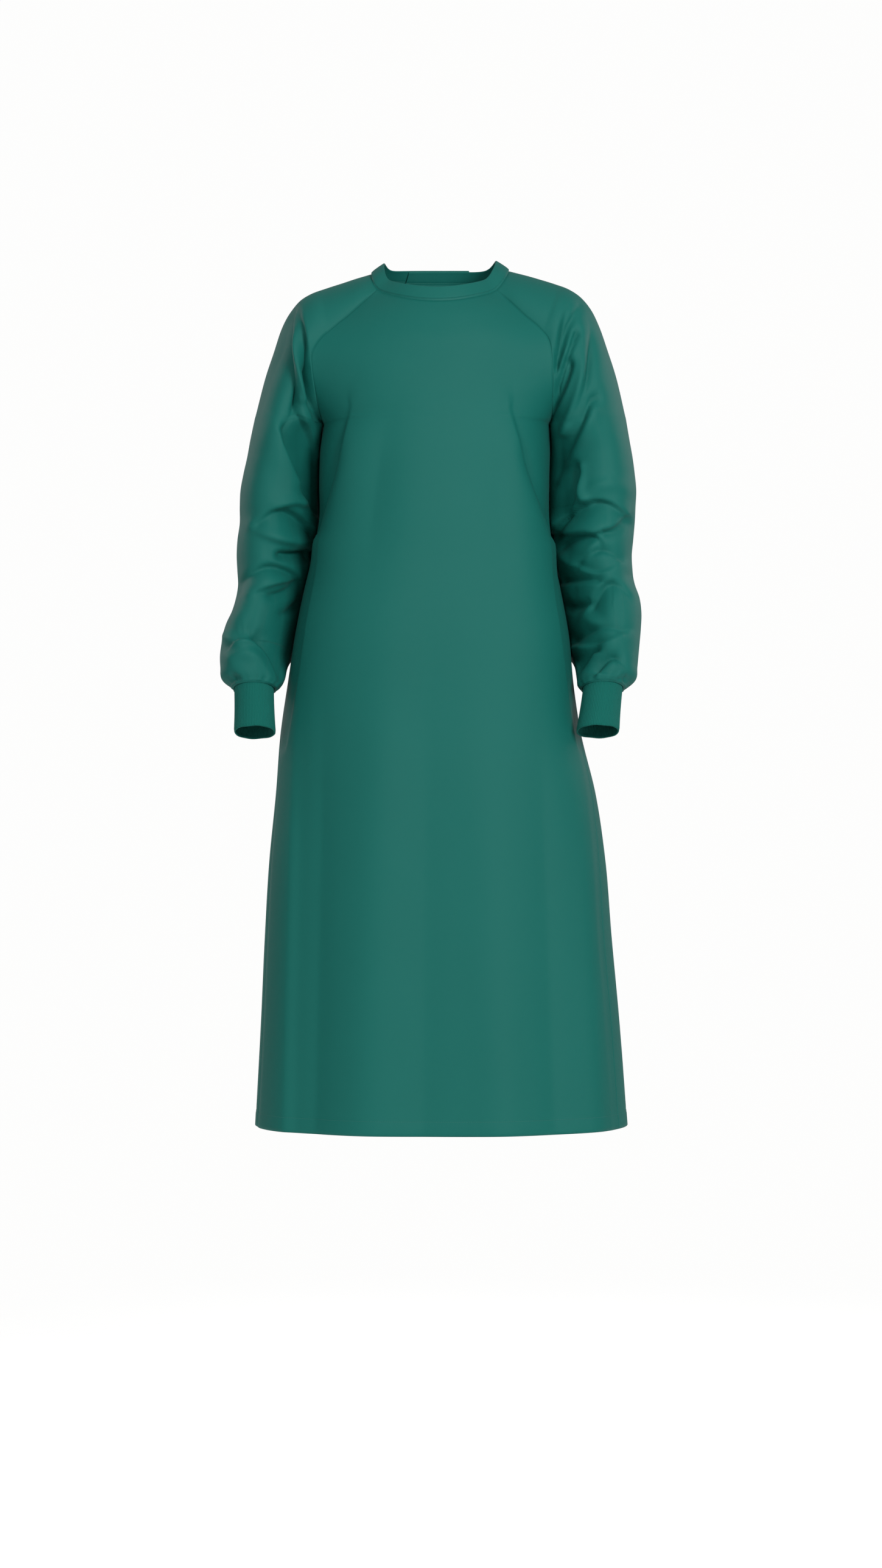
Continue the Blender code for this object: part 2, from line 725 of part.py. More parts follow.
def tie(name, surface, collection, strands):
    """Two tapes sewn to the backs and tied: a knot joined with its two runs and two tails."""
    knot_row, knot_x, tapes = TIES[name]
    centre, normal = on_back(surface, knot_row, knot_x)
    middle = centre + normal * (TAPE_CLEARANCE + KNOT_SIZE[1] / 2)
    mesh = bmesh.new()
    bmesh.ops.create_uvsphere(mesh, u_segments=16, v_segments=10, radius=0.5)
    slope = math.atan2(normal[2], normal[1])
    for vertex in mesh.verts:
        x, y, z = (c * size for c, size in zip(vertex.co, KNOT_SIZE))
        y, z = y * math.cos(slope) - z * math.sin(slope), y * math.sin(slope) + z * math.cos(slope)
        vertex.co = (middle + np.array((x, y, z))) * METRES
    knot = finish_mesh(mesh, name, collection, cloth_material(name, CLOTH_COLOUR, 0.6))
    for number, table in enumerate(tapes):
        strand = tape(f"{name}_tape_{number + 1}", table, surface, strands)
        join = knot.modifiers.new(strand.name, "BOOLEAN")
        join.operation = "UNION"
        join.object = strand


def main():
    for thing in list(bpy.data.objects):
        bpy.data.objects.remove(thing, do_unlink=True)
    gown = bpy.data.collections.new("surgical_gown")
    strands = bpy.data.collections.new("tape_strands")
    for collection in (gown, strands):
        bpy.context.scene.collection.children.link(collection)

    points = {
        "back_left": back_panel(-1),
        "sleeve_left": sleeve_tube("left"),
        "front": front_panel(),
        "sleeve_right": sleeve_tube("right"),
        "back_right": back_panel(1),
    }
    normals = {name: grid_normals(grid, False) for name, grid in points.items()}
    for name in ("sleeve_left", "sleeve_right"):
        rings = grid_normals(points[name], True)[UNDERARM:]
        rings[:, 0] = rings[:, -1] = unit(rings[:, 0] + rings[:, -1])
        normals[name][UNDERARM:] = rings

    # Armhole seams share their normals down to where the arm leaves the body, side seams all down
    armhole = np.arange(UNDERARM + 1)
    below = np.arange(UNDERARM, len(points["front"]))
    weight = (1.0 - smoothstep(armhole, 5.5, 9.5))[:, None]
    for first, column, second, other in (
        ("front", 0, "sleeve_left", -1),
        ("front", -1, "sleeve_right", 0),
        ("back_left", -1, "sleeve_left", 0),
        ("back_right", 0, "sleeve_right", -1),
    ):
        share_normals(normals[first], (armhole, column), normals[second], (armhole, other), weight)
    share_normals(normals["front"], (below, 0), normals["back_left"], (below, -1), 1.0)
    share_normals(normals["front"], (below, -1), normals["back_right"], (below, 0), 1.0)

    # Round the neck the pieces follow each other in the order of the dictionary
    edge = np.concatenate([grid[0] for grid in points.values()])
    outward = np.concatenate([grid[0] for grid in normals.values()])
    fresh = np.concatenate(((True,), np.linalg.norm(np.diff(edge, axis=0), axis=1) > 0.01))
    band, band_normals = neck_band(edge[fresh], outward[fresh])
    seam_normals = band_normals[-1][np.cumsum(fresh) - 1]
    taken = 0
    for name, grid in points.items():
        count = grid.shape[1]
        normals[name][0] = seam_normals[taken : taken + count]
        taken += count

    # Each edge moves in from its seam by half the gap
    for name, columns, last in (
        ("front", (0, -1), len(points["front"])),
        ("back_left", (-1,), len(points["front"])),
        ("back_right", (0,), len(points["front"])),
        ("sleeve_left", (0, -1), UNDERARM),
        ("sleeve_right", (0, -1), UNDERARM),
    ):
        for column in columns:
            pull_edge(points[name], np.arange(last), column, 1 if column == 0 else -1)
        pull_top(points[name])

    for name, grid in points.items():
        wall = np.full((len(grid), 1, 1), WALL)
        rings_from = UNDERARM if name.startswith("sleeve") else None
        if rings_from is None:
            wall[-2:] += HEM_EXTRA
        inner = grid - normals[name] * wall
        build_wall(name, grid, inner, gown, cloth_material(name, CLOTH_COLOUR, 0.6), rings_from)
    inner = band - band_normals * BAND_WALL
    build_wall("neck_band", band, inner, gown, cloth_material("neck_band", CLOTH_COLOUR, 0.6))
    for side in CUFF:
        cuff(side, gown)
    surface = whole_back()
    for name in TIES:
        tie(name, surface, gown, strands)


main()
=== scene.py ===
"""Surgical gown: the look of its cloth, knit, seams and tapes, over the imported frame.

Tables and sizes are in millimetres, and each mesh is written in metres. The front faces -Y.
Left and right are as seen from the front, so left is -X.
"""

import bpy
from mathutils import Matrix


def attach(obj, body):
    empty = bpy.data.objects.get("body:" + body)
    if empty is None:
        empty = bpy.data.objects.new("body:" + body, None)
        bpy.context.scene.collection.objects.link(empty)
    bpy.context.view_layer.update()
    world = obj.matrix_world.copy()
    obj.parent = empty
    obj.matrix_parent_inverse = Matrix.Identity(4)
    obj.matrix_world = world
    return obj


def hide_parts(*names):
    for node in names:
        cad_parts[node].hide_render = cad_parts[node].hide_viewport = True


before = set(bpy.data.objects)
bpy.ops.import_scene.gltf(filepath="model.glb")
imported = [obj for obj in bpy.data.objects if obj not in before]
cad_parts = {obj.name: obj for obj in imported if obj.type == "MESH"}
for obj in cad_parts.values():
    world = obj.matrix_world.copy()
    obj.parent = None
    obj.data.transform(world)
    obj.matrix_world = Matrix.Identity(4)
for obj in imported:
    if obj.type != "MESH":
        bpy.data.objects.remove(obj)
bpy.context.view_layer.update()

import math

import bmesh
import bpy
import numpy as np
from mathutils import Vector

METRES = 0.001
BODY_NAME = "root"
# Points of a mesh nearer than this, in metres, are one
SAME_PLACE = 1e-6

# Cloth and its turned hems, whose proud cloth ends this far before and past the stitches
CLOTH_THICKNESS = 0.8
THREAD_PITCH = 0.9
HEM_DEPTH = 19.0
EDGE_HEM_DEPTH = 11.0
HEM_PROUD = 0.5
HEM_FADE = (0.8, 1.4)
# How deep and how wide the cloth dips at a hem's stitches, at a seam and at the neck
HEM_DIP = (0.35, 1.2)
SEAM_DIP = (0.5, 1.1)
NECK_DIP = (1.8, 1.7)

# Creases: how their sides run to the middle, where 1 is a point and 2 is round, and what each
# height in their tables is multiplied by, for valleys and for ridges
VALLEY_POINT = 1.5
RIDGE_POINT = 2.0
VALLEY_SHARE = 2.1
RIDGE_SHARE = 1.9
# The straight stretches that stand for a crease's line, and its reach in half widths
CREASE_STRETCHES = 12
CREASE_REACH = 2.6
# Distances from a seam, the neck or a cuff over which creases fade in
FRONT_SEAM_FADE = (2.0, 24.0)
FRONT_NECK_FADE = (4.0, 40.0)
BACK_SEAM_FADE = (2.0, 26.0)
BACK_NECK_FADE = (4.0, 60.0)
SLEEVE_NECK_FADE = (2.0, 16.0)
SLEEVE_CUFF_FADE = (2.0, 10.0)
# Width of a sleeve's fade at its seams, and at the line under the arm
SLEEVE_SEAM_FADE = (7.0, 14.0)
# How far forward a place on a sleeve faces where the front's creases begin and are whole
SLEEVE_FACING = (-0.05, 0.35)

# How square the body's rings are: 2 is an ellipse
BODY_SQUARENESS = 2.3

# Rows of the fine grids down the armholes, spacing of rows below them, and columns across
ARMHOLE_ROWS = 72
BODY_SPACING = 5.0
SLEEVE_SPACING = 2.5
FRONT_COLUMNS = 150
BACK_COLUMNS = 88
SLEEVE_COLUMNS = 156
# Extra columns this share of a column from each edge
EDGE_COLUMNS = (0.12, 0.3, 0.6)
# Extra rows of a sleeve, by their distance from its cuff
CUFF_ROLL_ROWS = (6.0, 5.0, 4.2, 3.4, 2.6, 1.9, 1.2, 0.6, 0.0)

# Each side seam lies this many degrees in front of the side, less above SEAM_FORWARD_WHOLE and
# none above SEAM_FORWARD_FROM
SEAM_FORWARD = {"left": 11.0, "right": 20.0}
SEAM_FORWARD_FROM = -240.0
SEAM_FORWARD_WHOLE = -900.0

# Neck band
BAND_THICKNESS = 2.2
BAND_RISE = 16.0
BAND_SIDE_FALL = 5.5
BAND_LEAN_IN = 7.0
BAND_SIDE_LEAN_IN = 8.5
BAND_SIDE_AT = 90.0
BAND_MIDDLE = (0.0, -5.0, 0.0)
BAND_PROUD = 0.4
BAND_PUFF = 0.35
BAND_ROWS = 17
BAND_STITCH = 3.0
# How deep and how wide the band dips at its stitches and at its foot
BAND_STITCH_DIP = (0.5, 0.9)
BAND_FOOT_DIP = (0.8, 1.0)
# How far under the cloth the band's seam allowance lies, at its inside and at its outside
BAND_TUCK = (3.8, 3.1)
# How far the neck edge is evened out along itself, and how far down the cloth goes with it
NECK_EVEN = 14.0
NECK_EVEN_DOWN = 30.0
# Points of the neck edge nearer together than this are one
NEAREST_ON_NECK = 0.2

# Back opening: half the lap at the neck and at the hem, how far in the lower flap lies, and where
# it comes out again past the lap
LAP_AT_NECK = 45.0
LAP_AT_HEM = 85.0
LAP_DEPTH = 3.3
LAP_RAMP = (6.0, 45.0)

# Below the underarm the inside of a sleeve lies this much further back than its middle, and behind
# the body's side it follows the body by this share, this far clear of it
INNER_BACK = 34.0
SLEEVE_HUG = 0.93
SLEEVE_CLEARANCE = 1.2
# Depths below the origin at which the inside moves back, at which it begins to follow the body and
# at which both end
INNER_BACK_FADE = (212.0, 255.0)
HUG_FADE = (200.0, 213.0)
HUG_END = (515.0, 560.0)
# How far round to the inside the sleeve follows the body, and between which depths y, front and
# back. The front one lies this much further ahead down to the first of two depths.
HUG_INNER = (0.45, 0.75)
HUG_FRONT = (-25.0, 15.0)
HUG_BACK = (50.0, 85.0)
HUG_AHEAD = 25.0
HUG_AHEAD_FADE = (225.0, 270.0)
# Just under the arm a sleeve is only this far clear of the body, and its clearance grows over rows
UNDERARM_CLEARANCE = 0.3
CLEARANCE_ROWS = 12.0

# Tucks where a sleeve is sewn to its cuff: size, count round the arm and turn of each wave
GATHER_WAVES = ((0.6, 11, 0.7), (0.5, 17, 2.1), (0.3, 5, 0.0))
GATHER_HEIGHT = 0.8
GATHER_REACH = 24.0
GATHER_FADE = 20.0
GATHER_START = (0.5, 5.0)

# Cuffs
CUFF_RIBS = 78
POINTS_PER_RIB = 6
RIB_HEIGHT = 0.6
LOOP_PITCH = 1.3
CUFF_ROWS = 36
CUFF_THICKNESS = 1.4
CUFF_LEAN = 16.0
CUFF_JOIN = 0.9
CUFF_TUCKED_IN = 0.06
CUFF_NARROWING = 0.02
CUFF_END = 0.93
RIB_ROUNDNESS = 0.7
# Waves of its free edge: size, count round the wrist and turn of each
CUFF_WAVES = ((0.35, 3, 0.8), (0.25, 7, 2.0))
# The sleeve's cloth rolls out by this height and width just above its seam to the cuff
CUFF_ROLL = (1.3, 1.8)
CUFF_ROLL_AT = 3.4

# Stitches
STITCH_SPACING = 3.0
STITCH_LENGTH = 2.3
THREAD_WIDTH = 0.5

# Tape ties
TAPE_WIDTH = 12.0
TAPE_THICKNESS = 1.1
TAPE_CLEARANCE = 0.5
TAPE_RIB_PITCH = 1.1
# How square its section is, across and through
TAPE_POWERS = (0.35, 0.7)
# A tail stands off the cloth by a lift and a ripple, and rolls by an angle in degrees
TAIL_LIFT = 2.2
TAIL_RIPPLE = 0.8
TAIL_ROLL = 16.0
KNOT_SIZE = (19.0, 9.5, 16.0)
# In shares of the knot: its plain size, and the height, middle and width of its wrap and grooves
KNOT_PLAIN = 0.88
KNOT_FOLD = 0.03
KNOT_SLANT = 0.35
KNOT_WRAP = (0.14, 0.33)
KNOT_GROOVE_AT = 0.42
KNOT_GROOVE = (0.07, 0.1)

# Each tie: row and x of its knot, then its four tapes, from the knot out, as rows and x
TIES = {
    "neck_tie": (
        0.85,
        64,
        (
            ((0.85, 62), (0.8, 48), (0.75, 24)),
            ((0.85, 66), (0.9, 76), (0.95, 86)),
            ((0.95, 61), (1.8, 56), (3.0, 53), (4.2, 55)),
            ((0.95, 67), (1.7, 73), (2.6, 77), (3.5, 76)),
        ),
    ),
    "waist_tie": (
        14.75,
        98,
        (
            ((14.75, 96), (14.7, 74), (14.65, 44)),
            ((14.75, 100), (14.7, 112), (14.65, 125)),
            ((14.8, 95), (15.8, 90), (17.0, 87), (17.9, 90)),
            ((14.8, 101), (15.6, 108), (16.5, 112), (17.3, 110)),
        ),
    ),
}

# Colours, and how much the cloth's faint rumples count
SHEEN_TINT = (0.55, 0.95, 0.88, 1.0)
CLOTH_COLOUR = (0.0062, 0.116, 0.096)
KNIT_COLOUR = (0.0065, 0.146, 0.118)
THREAD_COLOUR = (0.022, 0.150, 0.125)
FLOOR_COLOUR = (0.8, 0.8, 0.795)
BACKDROP_COLOUR = (0.985, 0.985, 0.98)
AIR_COLOUR = (0.28, 0.28, 0.28)
RUMPLE_SHARE = 0.3

FLOOR_GLOW = 0.62
FLOOR_HEIGHT = -1650.0

# From here to the lights, lengths are in metres and power is in watts. The floor is whole as far
# as its first radius and has faded into the backdrop at its second.
FLOOR_RADII = (0.5, 2.2)
CAMERA_PLACE = (0.002, -4.5, -0.6885)
# The camera's lens and the height of its sensor, in millimetres
CAMERA_LENS = 77.6
CAMERA_SENSOR = 36.0
# Name, place, point that it faces, width, height and power
LIGHTS = (
    ("key", (1.5, -2.9, 0.6), (0.0, 0.0, -0.5), 1.0, 1.2, 92.0),
    ("fill", (-1.6, -2.9, 0.3), (0.0, 0.0, -0.6), 1.2, 1.6, 26.0),
    ("top", (0.0, -0.6, 2.2), (0.0, 0.0, -0.5), 1.6, 1.2, 8.0),
    ("behind_left", (-2.5, 1.9, 0.6), (0.0, 0.0, -0.5), 1.2, 1.8, 17.0),
    ("behind_right", (2.5, 1.9, 0.6), (0.0, 0.0, -0.5), 1.2, 1.8, 17.0),
)

# Front armhole seam from neck to underarm: left x, right x, y, z
FRONT_SEAM = (
    (-82, 74, -41, -37),
    (-100, 93, -54, -54),
    (-120, 112, -63, -73),
    (-140, 131, -69, -90),
    (-157, 143, -72, -106),
    (-167, 147, -73, -124),
    (-167, 148, -71, -146),
    (-164, 149, -64, -168),
    (-160, 149, -50, -189),
    (-156, 148, -27, -205),
    (-154, 146, 0, -212),
)

# Back armhole seam from neck to underarm: left x, right x, y, z
BACK_SEAM = (
    (-79, 76, 45, -15),
    (-98, 95, 58, -34),
    (-118, 114, 67, -54),
    (-138, 133, 73, -75),
    (-154, 147, 77, -96),
    (-165, 154, 79, -118),
    (-167, 155, 77, -142),
    (-165, 153, 69, -166),
    (-161, 151, 53, -188),
    (-157, 149, 28, -205),
    (-154, 146, 0, -212),
)

# Top of the shoulder and outside of the arm for the same stations:
# left x and z, right x and z, half depth of the sleeve, squareness of the arch
SHOULDER = (
    (-89, -9, 91, -5, 43, 2.0),
    (-108, -14.8, 111, -10.4, 56, 1.9),
    (-128, -21.5, 131, -16.1, 65, 1.9),
    (-150, -28.7, 153, -22.9, 71, 1.9),
    (-170, -36.2, 172, -30.2, 75.5, 2.0),
    (-186, -46.4, 188, -41, 78, 2.0),
    (-200, -62.5, 202, -58, 79, 2.0),
    (-211, -84, 213, -81, 79, 2.0),
    (-221, -114, 223, -110, 79, 2.0),
    (-233, -151, 236, -151, 78.5, 2.0),
    (-246, -203, 248, -203, 78, 2.0),
)

# Centre front for the same stations: y, z, flatness of the row across the chest
FRONT_CENTRE = (
    (-80, -55, 1.0),
    (-91, -72, 1.0),
    (-99, -89, 1.0),
    (-105, -106, 0.92),
    (-109, -124, 0.87),
    (-113, -142, 0.80),
    (-116, -160, 0.82),
    (-118, -177, 0.95),
    (-120, -192, 1.2),
    (-121, -204, 1.7),
    (-122, -212, 2.3),
)

# Centre back for the same stations: y, z, flatness
BACK_CENTRE = (
    (66, -14, 1.0),
    (80, -34, 1.0),
    (91, -56, 1.0),
    (99, -78, 1.0),
    (105, -99, 0.95),
    (109, -120, 0.9),
    (112, -142, 0.85),
    (114, -164, 0.9),
    (114.5, -184, 1.1),
    (114.5, -200, 1.6),
    (114, -212, 2.3),
)

# Body at the underarm and below it: z, left half width, right half width, front depth, back depth
BODY_AT_UNDERARM = (-212, 154, 146, 122, 114)
BODY = (
    (-240, 158, 147, 125, 115),
    (-285, 160, 146, 128, 116),
    (-335, 160, 146, 131, 117),
    (-385, 169, 152, 133, 119),
    (-435, 181, 162, 136, 121),
    (-490, 192, 172, 139, 125),
    (-550, 201, 178, 142, 130),
    (-620, 211, 189, 146, 136),
    (-700, 217, 208, 151, 143),
    (-790, 226, 221, 157, 151),
    (-890, 232, 229, 163, 160),
    (-1000, 237, 239, 170, 170),
    (-1140, 244.5, 249.5, 178, 182.5),
)

# Sleeve below the underarm:
# z, left outer x, left inner x, right outer x, right inner x, centre y, half depth, lean forward
SLEEVE = (
    (-232, -252, -163, 253, 149, 1, 78, 0),
    (-254, -256, -163, 257, 149, 2, 77, 0),
    (-276, -261, -163, 260, 149, 3, 76, 0),
    (-298, -265, -163, 262, 149, 3, 75, 0),
    (-320, -266, -163, 261, 149, 3, 74, 1),
    (-342, -266, -164, 260, 149, 3, 72, 2),
    (-364, -269, -167, 258, 151, 2, 70, 3),
    (-385, -270, -172, 256, 155, 1, 68, 5),
    (-405, -269, -178, 257, 160, -1, 66, 7),
    (-425, -268, -183, 260, 165, -4, 65, 9),
    (-444, -271, -188, 266, 169, -8, 64, 11),
    (-463, -276, -192, 268, 172, -13, 63, 13),
    (-482, -284, -195, 267, 175, -19, 62, 15),
    (-501, -288, -198, 265, 177, -26, 60, 16),
    (-519, -290, -200, 263, 179, -33, 57, 16),
    (-536, -289, -202, 261, 180, -41, 53, 16),
    (-550, -287, -204, 259, 181, -48, 47, 16),
    (-559, -275, -209, 248, 182, -55, 39, 16),
)

# Top and bottom of each cuff: x, y and z of its centre, half width, half depth
CUFF = {
    "left": ((-243.5, -61, -564, 26.0, 31.0), (-241.5, -78, -621, 27.5, 32.0)),
    "right": ((214.5, -61, -563, 26.0, 31.0), (207.0, -78, -620, 28.5, 32.0)),
}

UNDERARM = len(FRONT_SEAM) - 1

# Creases. Each row is a curved line on the cloth: x and z where it starts, bends and ends; its
# half width on the left and on the right of that direction; its height, negative for a valley;
# and its strength at the start, bend and end. Strength 1 at an end leaves a blunt, rounded end.
CREASES_SLEEVE_FRONT = {}
CREASES_SLEEVE_FRONT["left"] = (
    (-184, -72, -175, -114, -164, -178, 4, 9, -6.0, 0.3, 1.0, 0.9),
    (-195, -68, -197, -125, -184, -184, 5, 14, -5.5, 0.3, 1.0, 1.0),
    (-184, -184, -174, -216, -160, -254, 5, 12, -5.5, 1.0, 0.8, 0.4),
    (-189, -82, -190, -122, -173, -184, 6, 5, 4.5, 0.1, 1.0, 0.8),
    (-175, -154, -168, -180, -160, -212, 8, 4, -5.0, 1.0, 0.9, 0.4),
    (-210, -222, -203, -250, -188, -288, 4, 9, 3.5, 0.4, 1.0, 0.9),
    (-204, -230, -195, -256, -182, -290, 12, 4, -5.0, 0.9, 1.0, 0.7),
    (-182, -290, -176, -306, -162, -328, 9, 5, -4.0, 0.7, 1.0, 0.6),
    (-184, -319, -202, -321, -228, -336, 5, 8, 4.0, 1.0, 0.8, 0.1),
    (-238, -345, -198, -330, -162, -362, 5, 9, -6.0, 0.4, 1.0, 0.8),
    (-248, -350, -207, -367, -160, -367, 9, 7, 4.0, 0.3, 1.0, 0.7),
    (-205, -385, -186, -384, -162, -378, 5, 8, -6.5, 0.9, 1.0, 0.9),
    (-232, -392, -205, -398, -176, -400, 9, 9, 3.0, 0.2, 1.0, 0.6),
    (-190, -415, -226, -403, -262, -423, 7, 5, -4.5, 1.0, 0.9, 0.3),
    (-190, -416, -222, -426, -247, -438, 5, 8, 4.0, 0.9, 0.9, 0.2),
    (-236, -437, -214, -439, -194, -428, 5, 6, -3.5, 0.2, 1.0, 0.8),
    (-206, -464, -192, -455, -181, -440, 5, 5, -4.0, 0.4, 1.0, 0.7),
    (-266, -436, -276, -440, -284, -446, 9, 9, -4.0, 0.3, 0.9, 1.0),
    (-282, -494, -258, -500, -236, -482, 8, 8, 4.0, 0.6, 1.0, 0.2),
    (-274, -507, -240, -500, -212, -541, 9, 4, -6.0, 0.3, 1.0, 0.5),
    (-272, -524, -246, -520, -226, -548, 9, 9, 3.5, 0.5, 1.0, 0.3),
    (-271, -545, -268, -551, -262, -558, 3, 3, -2.2, 0.3, 1.0, 1.0),
    (-229, -551, -230, -556, -231, -560, 3, 3, -2.0, 0.5, 1.0, 1.0),
)

CREASES_SLEEVE_FRONT["right"] = (
    (170, -58, 160, -98, 149, -142, 6, 5, -5.0, 0.1, 1.0, 0.8),
    (186, -56, 171, -88, 157, -126, 5, 5, -4.5, 0.2, 1.0, 0.2),
    (182, -98, 168, -130, 147, -184, 4, 6, -5.0, 1.0, 0.9, 0.7),
    (176, -92, 163, -128, 149, -165, 5, 4, 4.0, 0.3, 1.0, 0.4),
    (173, -140, 164, -165, 149, -196, 4, 6, -6.0, 1.0, 1.0, 0.8),
    (197, -76, 199, -135, 172, -214, 6, 6, -4.5, 0.1, 1.0, 0.6),
    (188, -108, 185, -165, 165, -224, 7, 7, 4.0, 0.1, 0.9, 1.0),
    (205, -184, 190, -205, 166, -268, 6, 7, -4.5, 1.0, 0.9, 0.3),
    (199, -200, 187, -230, 168, -262, 8, 6, 3.5, 0.8, 0.8, 0.5),
    (160, -232, 158, -262, 152, -290, 6, 6, -3.0, 0.3, 1.0, 0.5),
    (182, -276, 178, -300, 160, -352, 5, 9, -5.5, 0.9, 0.8, 0.4),
    (187, -272, 186, -300, 191, -314, 6, 6, 3.5, 0.5, 1.0, 0.8),
    (191, -312, 215, -296, 244, -300, 10, 10, 3.0, 0.7, 0.8, 0.3),
    (151, -350, 200, -318, 244, -334, 4, 9, -6.0, 0.8, 1.0, 0.5),
    (151, -353, 205, -357, 244, -337, 9, 4, 4.5, 1.0, 0.9, 0.4),
    (217, -358, 231, -356, 248, -344, 5, 6, -3.5, 0.9, 0.8, 0.4),
    (160, -372, 182, -361, 206, -366, 5, 7, -5.0, 0.9, 1.0, 0.9),
    (162, -388, 184, -396, 206, -369, 7, 6, 3.5, 0.6, 1.0, 0.7),
    (182, -401, 209, -382, 240, -393, 6, 5, -3.5, 1.0, 0.9, 0.4),
    (182, -402, 211, -412, 238, -398, 5, 8, 3.0, 1.0, 0.9, 0.3),
    (161, -420, 180, -419, 207, -421, 9, 6, -4.5, 1.0, 0.9, 0.8),
    (198, -456, 222, -425, 248, -438, 5, 9, -4.5, 0.9, 1.0, 0.3),
    (166, -450, 178, -453, 193, -450, 7, 8, -5.0, 1.0, 1.0, 0.8),
    (198, -455, 202, -476, 236, -486, 9, 9, 3.0, 0.6, 0.9, 0.4),
    (172, -504, 205, -484, 242, -489, 7, 6, -4.0, 0.8, 0.9, 0.6),
    (172, -505, 206, -508, 242, -492, 6, 9, 4.0, 1.0, 0.9, 0.4),
    (204, -514, 193, -522, 176, -547, 5, 8, -5.5, 1.0, 1.0, 0.5),
    (202, -543, 224, -523, 244, -536, 6, 5, -5.0, 0.9, 1.0, 0.2),
    (202, -544, 224, -548, 242, -542, 4, 6, 2.5, 1.0, 0.8, 0.1),
    (252, -414, 262, -412, 270, -410, 8, 8, -4.0, 0.2, 0.8, 1.0),
    (246, -545, 243, -551, 238, -557, 3, 3, -2.2, 0.3, 1.0, 1.0),
)

# The same kind of creases where the photo doesn't reach
CREASES_SLEEVE_BACK = {}
CREASES_SLEEVE_BACK["left"] = (
    (-192, -74, -186, -120, -170, -176, 7, 6, -4.5, 0.1, 1.0, 0.7),
    (-206, -92, -205, -142, -184, -204, 7, 6, -4.0, 0.1, 1.0, 0.5),
    (-198, -84, -196, -130, -176, -188, 6, 6, 3.5, 0.1, 1.0, 0.5),
    (-212, -214, -196, -244, -176, -286, 6, 8, -4.0, 0.6, 1.0, 0.3),
    (-246, -332, -206, -322, -166, -348, 7, 6, -4.5, 0.4, 1.0, 0.6),
    (-250, -350, -210, -362, -168, -358, 8, 8, 3.5, 0.3, 1.0, 0.6),
    (-252, -386, -220, -372, -176, -392, 7, 6, -5.0, 0.5, 1.0, 0.8),
    (-250, -404, -216, -414, -182, -402, 8, 9, 4.0, 0.4, 1.0, 0.6),
    (-258, -440, -228, -424, -190, -446, 7, 6, -4.5, 0.6, 1.0, 0.5),
    (-262, -474, -232, -482, -202, -464, 9, 8, 3.5, 0.4, 1.0, 0.4),
    (-272, -498, -246, -492, -212, -516, 7, 6, -4.5, 0.7, 1.0, 0.4),
    (-266, -532, -244, -524, -222, -544, 6, 5, -4.0, 0.5, 1.0, 0.5),
)

CREASES_SLEEVE_BACK["right"] = (
    (180, -72, 168, -116, 156, -170, 6, 6, -4.5, 0.1, 1.0, 0.7),
    (196, -88, 190, -140, 170, -198, 7, 6, -4.0, 0.1, 1.0, 0.5),
    (188, -80, 180, -128, 162, -184, 6, 6, 3.5, 0.1, 1.0, 0.5),
    (214, -196, 196, -232, 166, -280, 7, 7, -4.0, 0.7, 1.0, 0.3),
    (236, -306, 200, -318, 160, -330, 8, 6, -4.5, 0.3, 1.0, 0.6),
    (240, -330, 204, -340, 160, -346, 8, 8, 3.5, 0.3, 1.0, 0.6),
    (238, -370, 206, -356, 168, -372, 7, 6, -4.5, 0.5, 1.0, 0.8),
    (244, -392, 210, -404, 172, -394, 8, 9, 4.0, 0.4, 1.0, 0.6),
    (246, -428, 214, -416, 176, -436, 7, 6, -4.5, 0.6, 1.0, 0.5),
    (252, -462, 220, -470, 184, -456, 9, 8, 3.5, 0.4, 1.0, 0.4),
    (252, -496, 222, -484, 186, -506, 7, 6, -4.5, 0.7, 1.0, 0.4),
    (244, -534, 222, -524, 196, -546, 6, 5, -4.0, 0.5, 1.0, 0.5),
)

CREASES_FRONT = (
    (-113, -196, -128, -262, -157, -360, 22, 9, 4.0, 0.25, 1.0, 0.9),
    (-124, -224, -138, -280, -157, -352, 9, 10, -3.5, 0.1, 1.0, 0.8),
    (90, -200, 108, -262, 145, -367, 8, 22, 4.0, 0.3, 1.0, 0.9),
    (101, -232, 118, -282, 146, -356, 10, 9, -3.5, 0.1, 1.0, 0.8),
    (-60, -190, -82, -300, -92, -430, 26, 26, -2.5, 0.1, 1.0, 0.2),
    (50, -190, 72, -300, 82, -430, 26, 26, -2.5, 0.1, 1.0, 0.2),
    (-188, -560, -194, -800, -200, -1150, 14, 22, 3.5, 0.1, 0.8, 1.0),
    (-150, -520, -156, -800, -164, -1150, 24, 24, -3.0, 0.1, 0.8, 1.0),
    (-150, -362, -170, -480, -196, -640, 34, 9, 3.6, 0.2, 1.0, 0.3),
    (138, -362, 154, -490, 178, -640, 9, 34, 3.6, 0.2, 1.0, 0.3),
    (-66, -430, -84, -760, -96, -1150, 34, 34, 3.0, 0.1, 0.8, 1.0),
    (-14, -520, -18, -800, -20, -1150, 28, 28, -2.0, 0.1, 0.8, 1.0),
    (50, -470, 66, -780, 78, -1150, 34, 34, 3.5, 0.1, 0.8, 1.0),
    (128, -560, 140, -820, 152, -1150, 26, 26, -3.0, 0.1, 0.8, 1.0),
    (186, -640, 196, -860, 206, -1150, 18, 18, 2.5, 0.1, 0.8, 1.0),
)

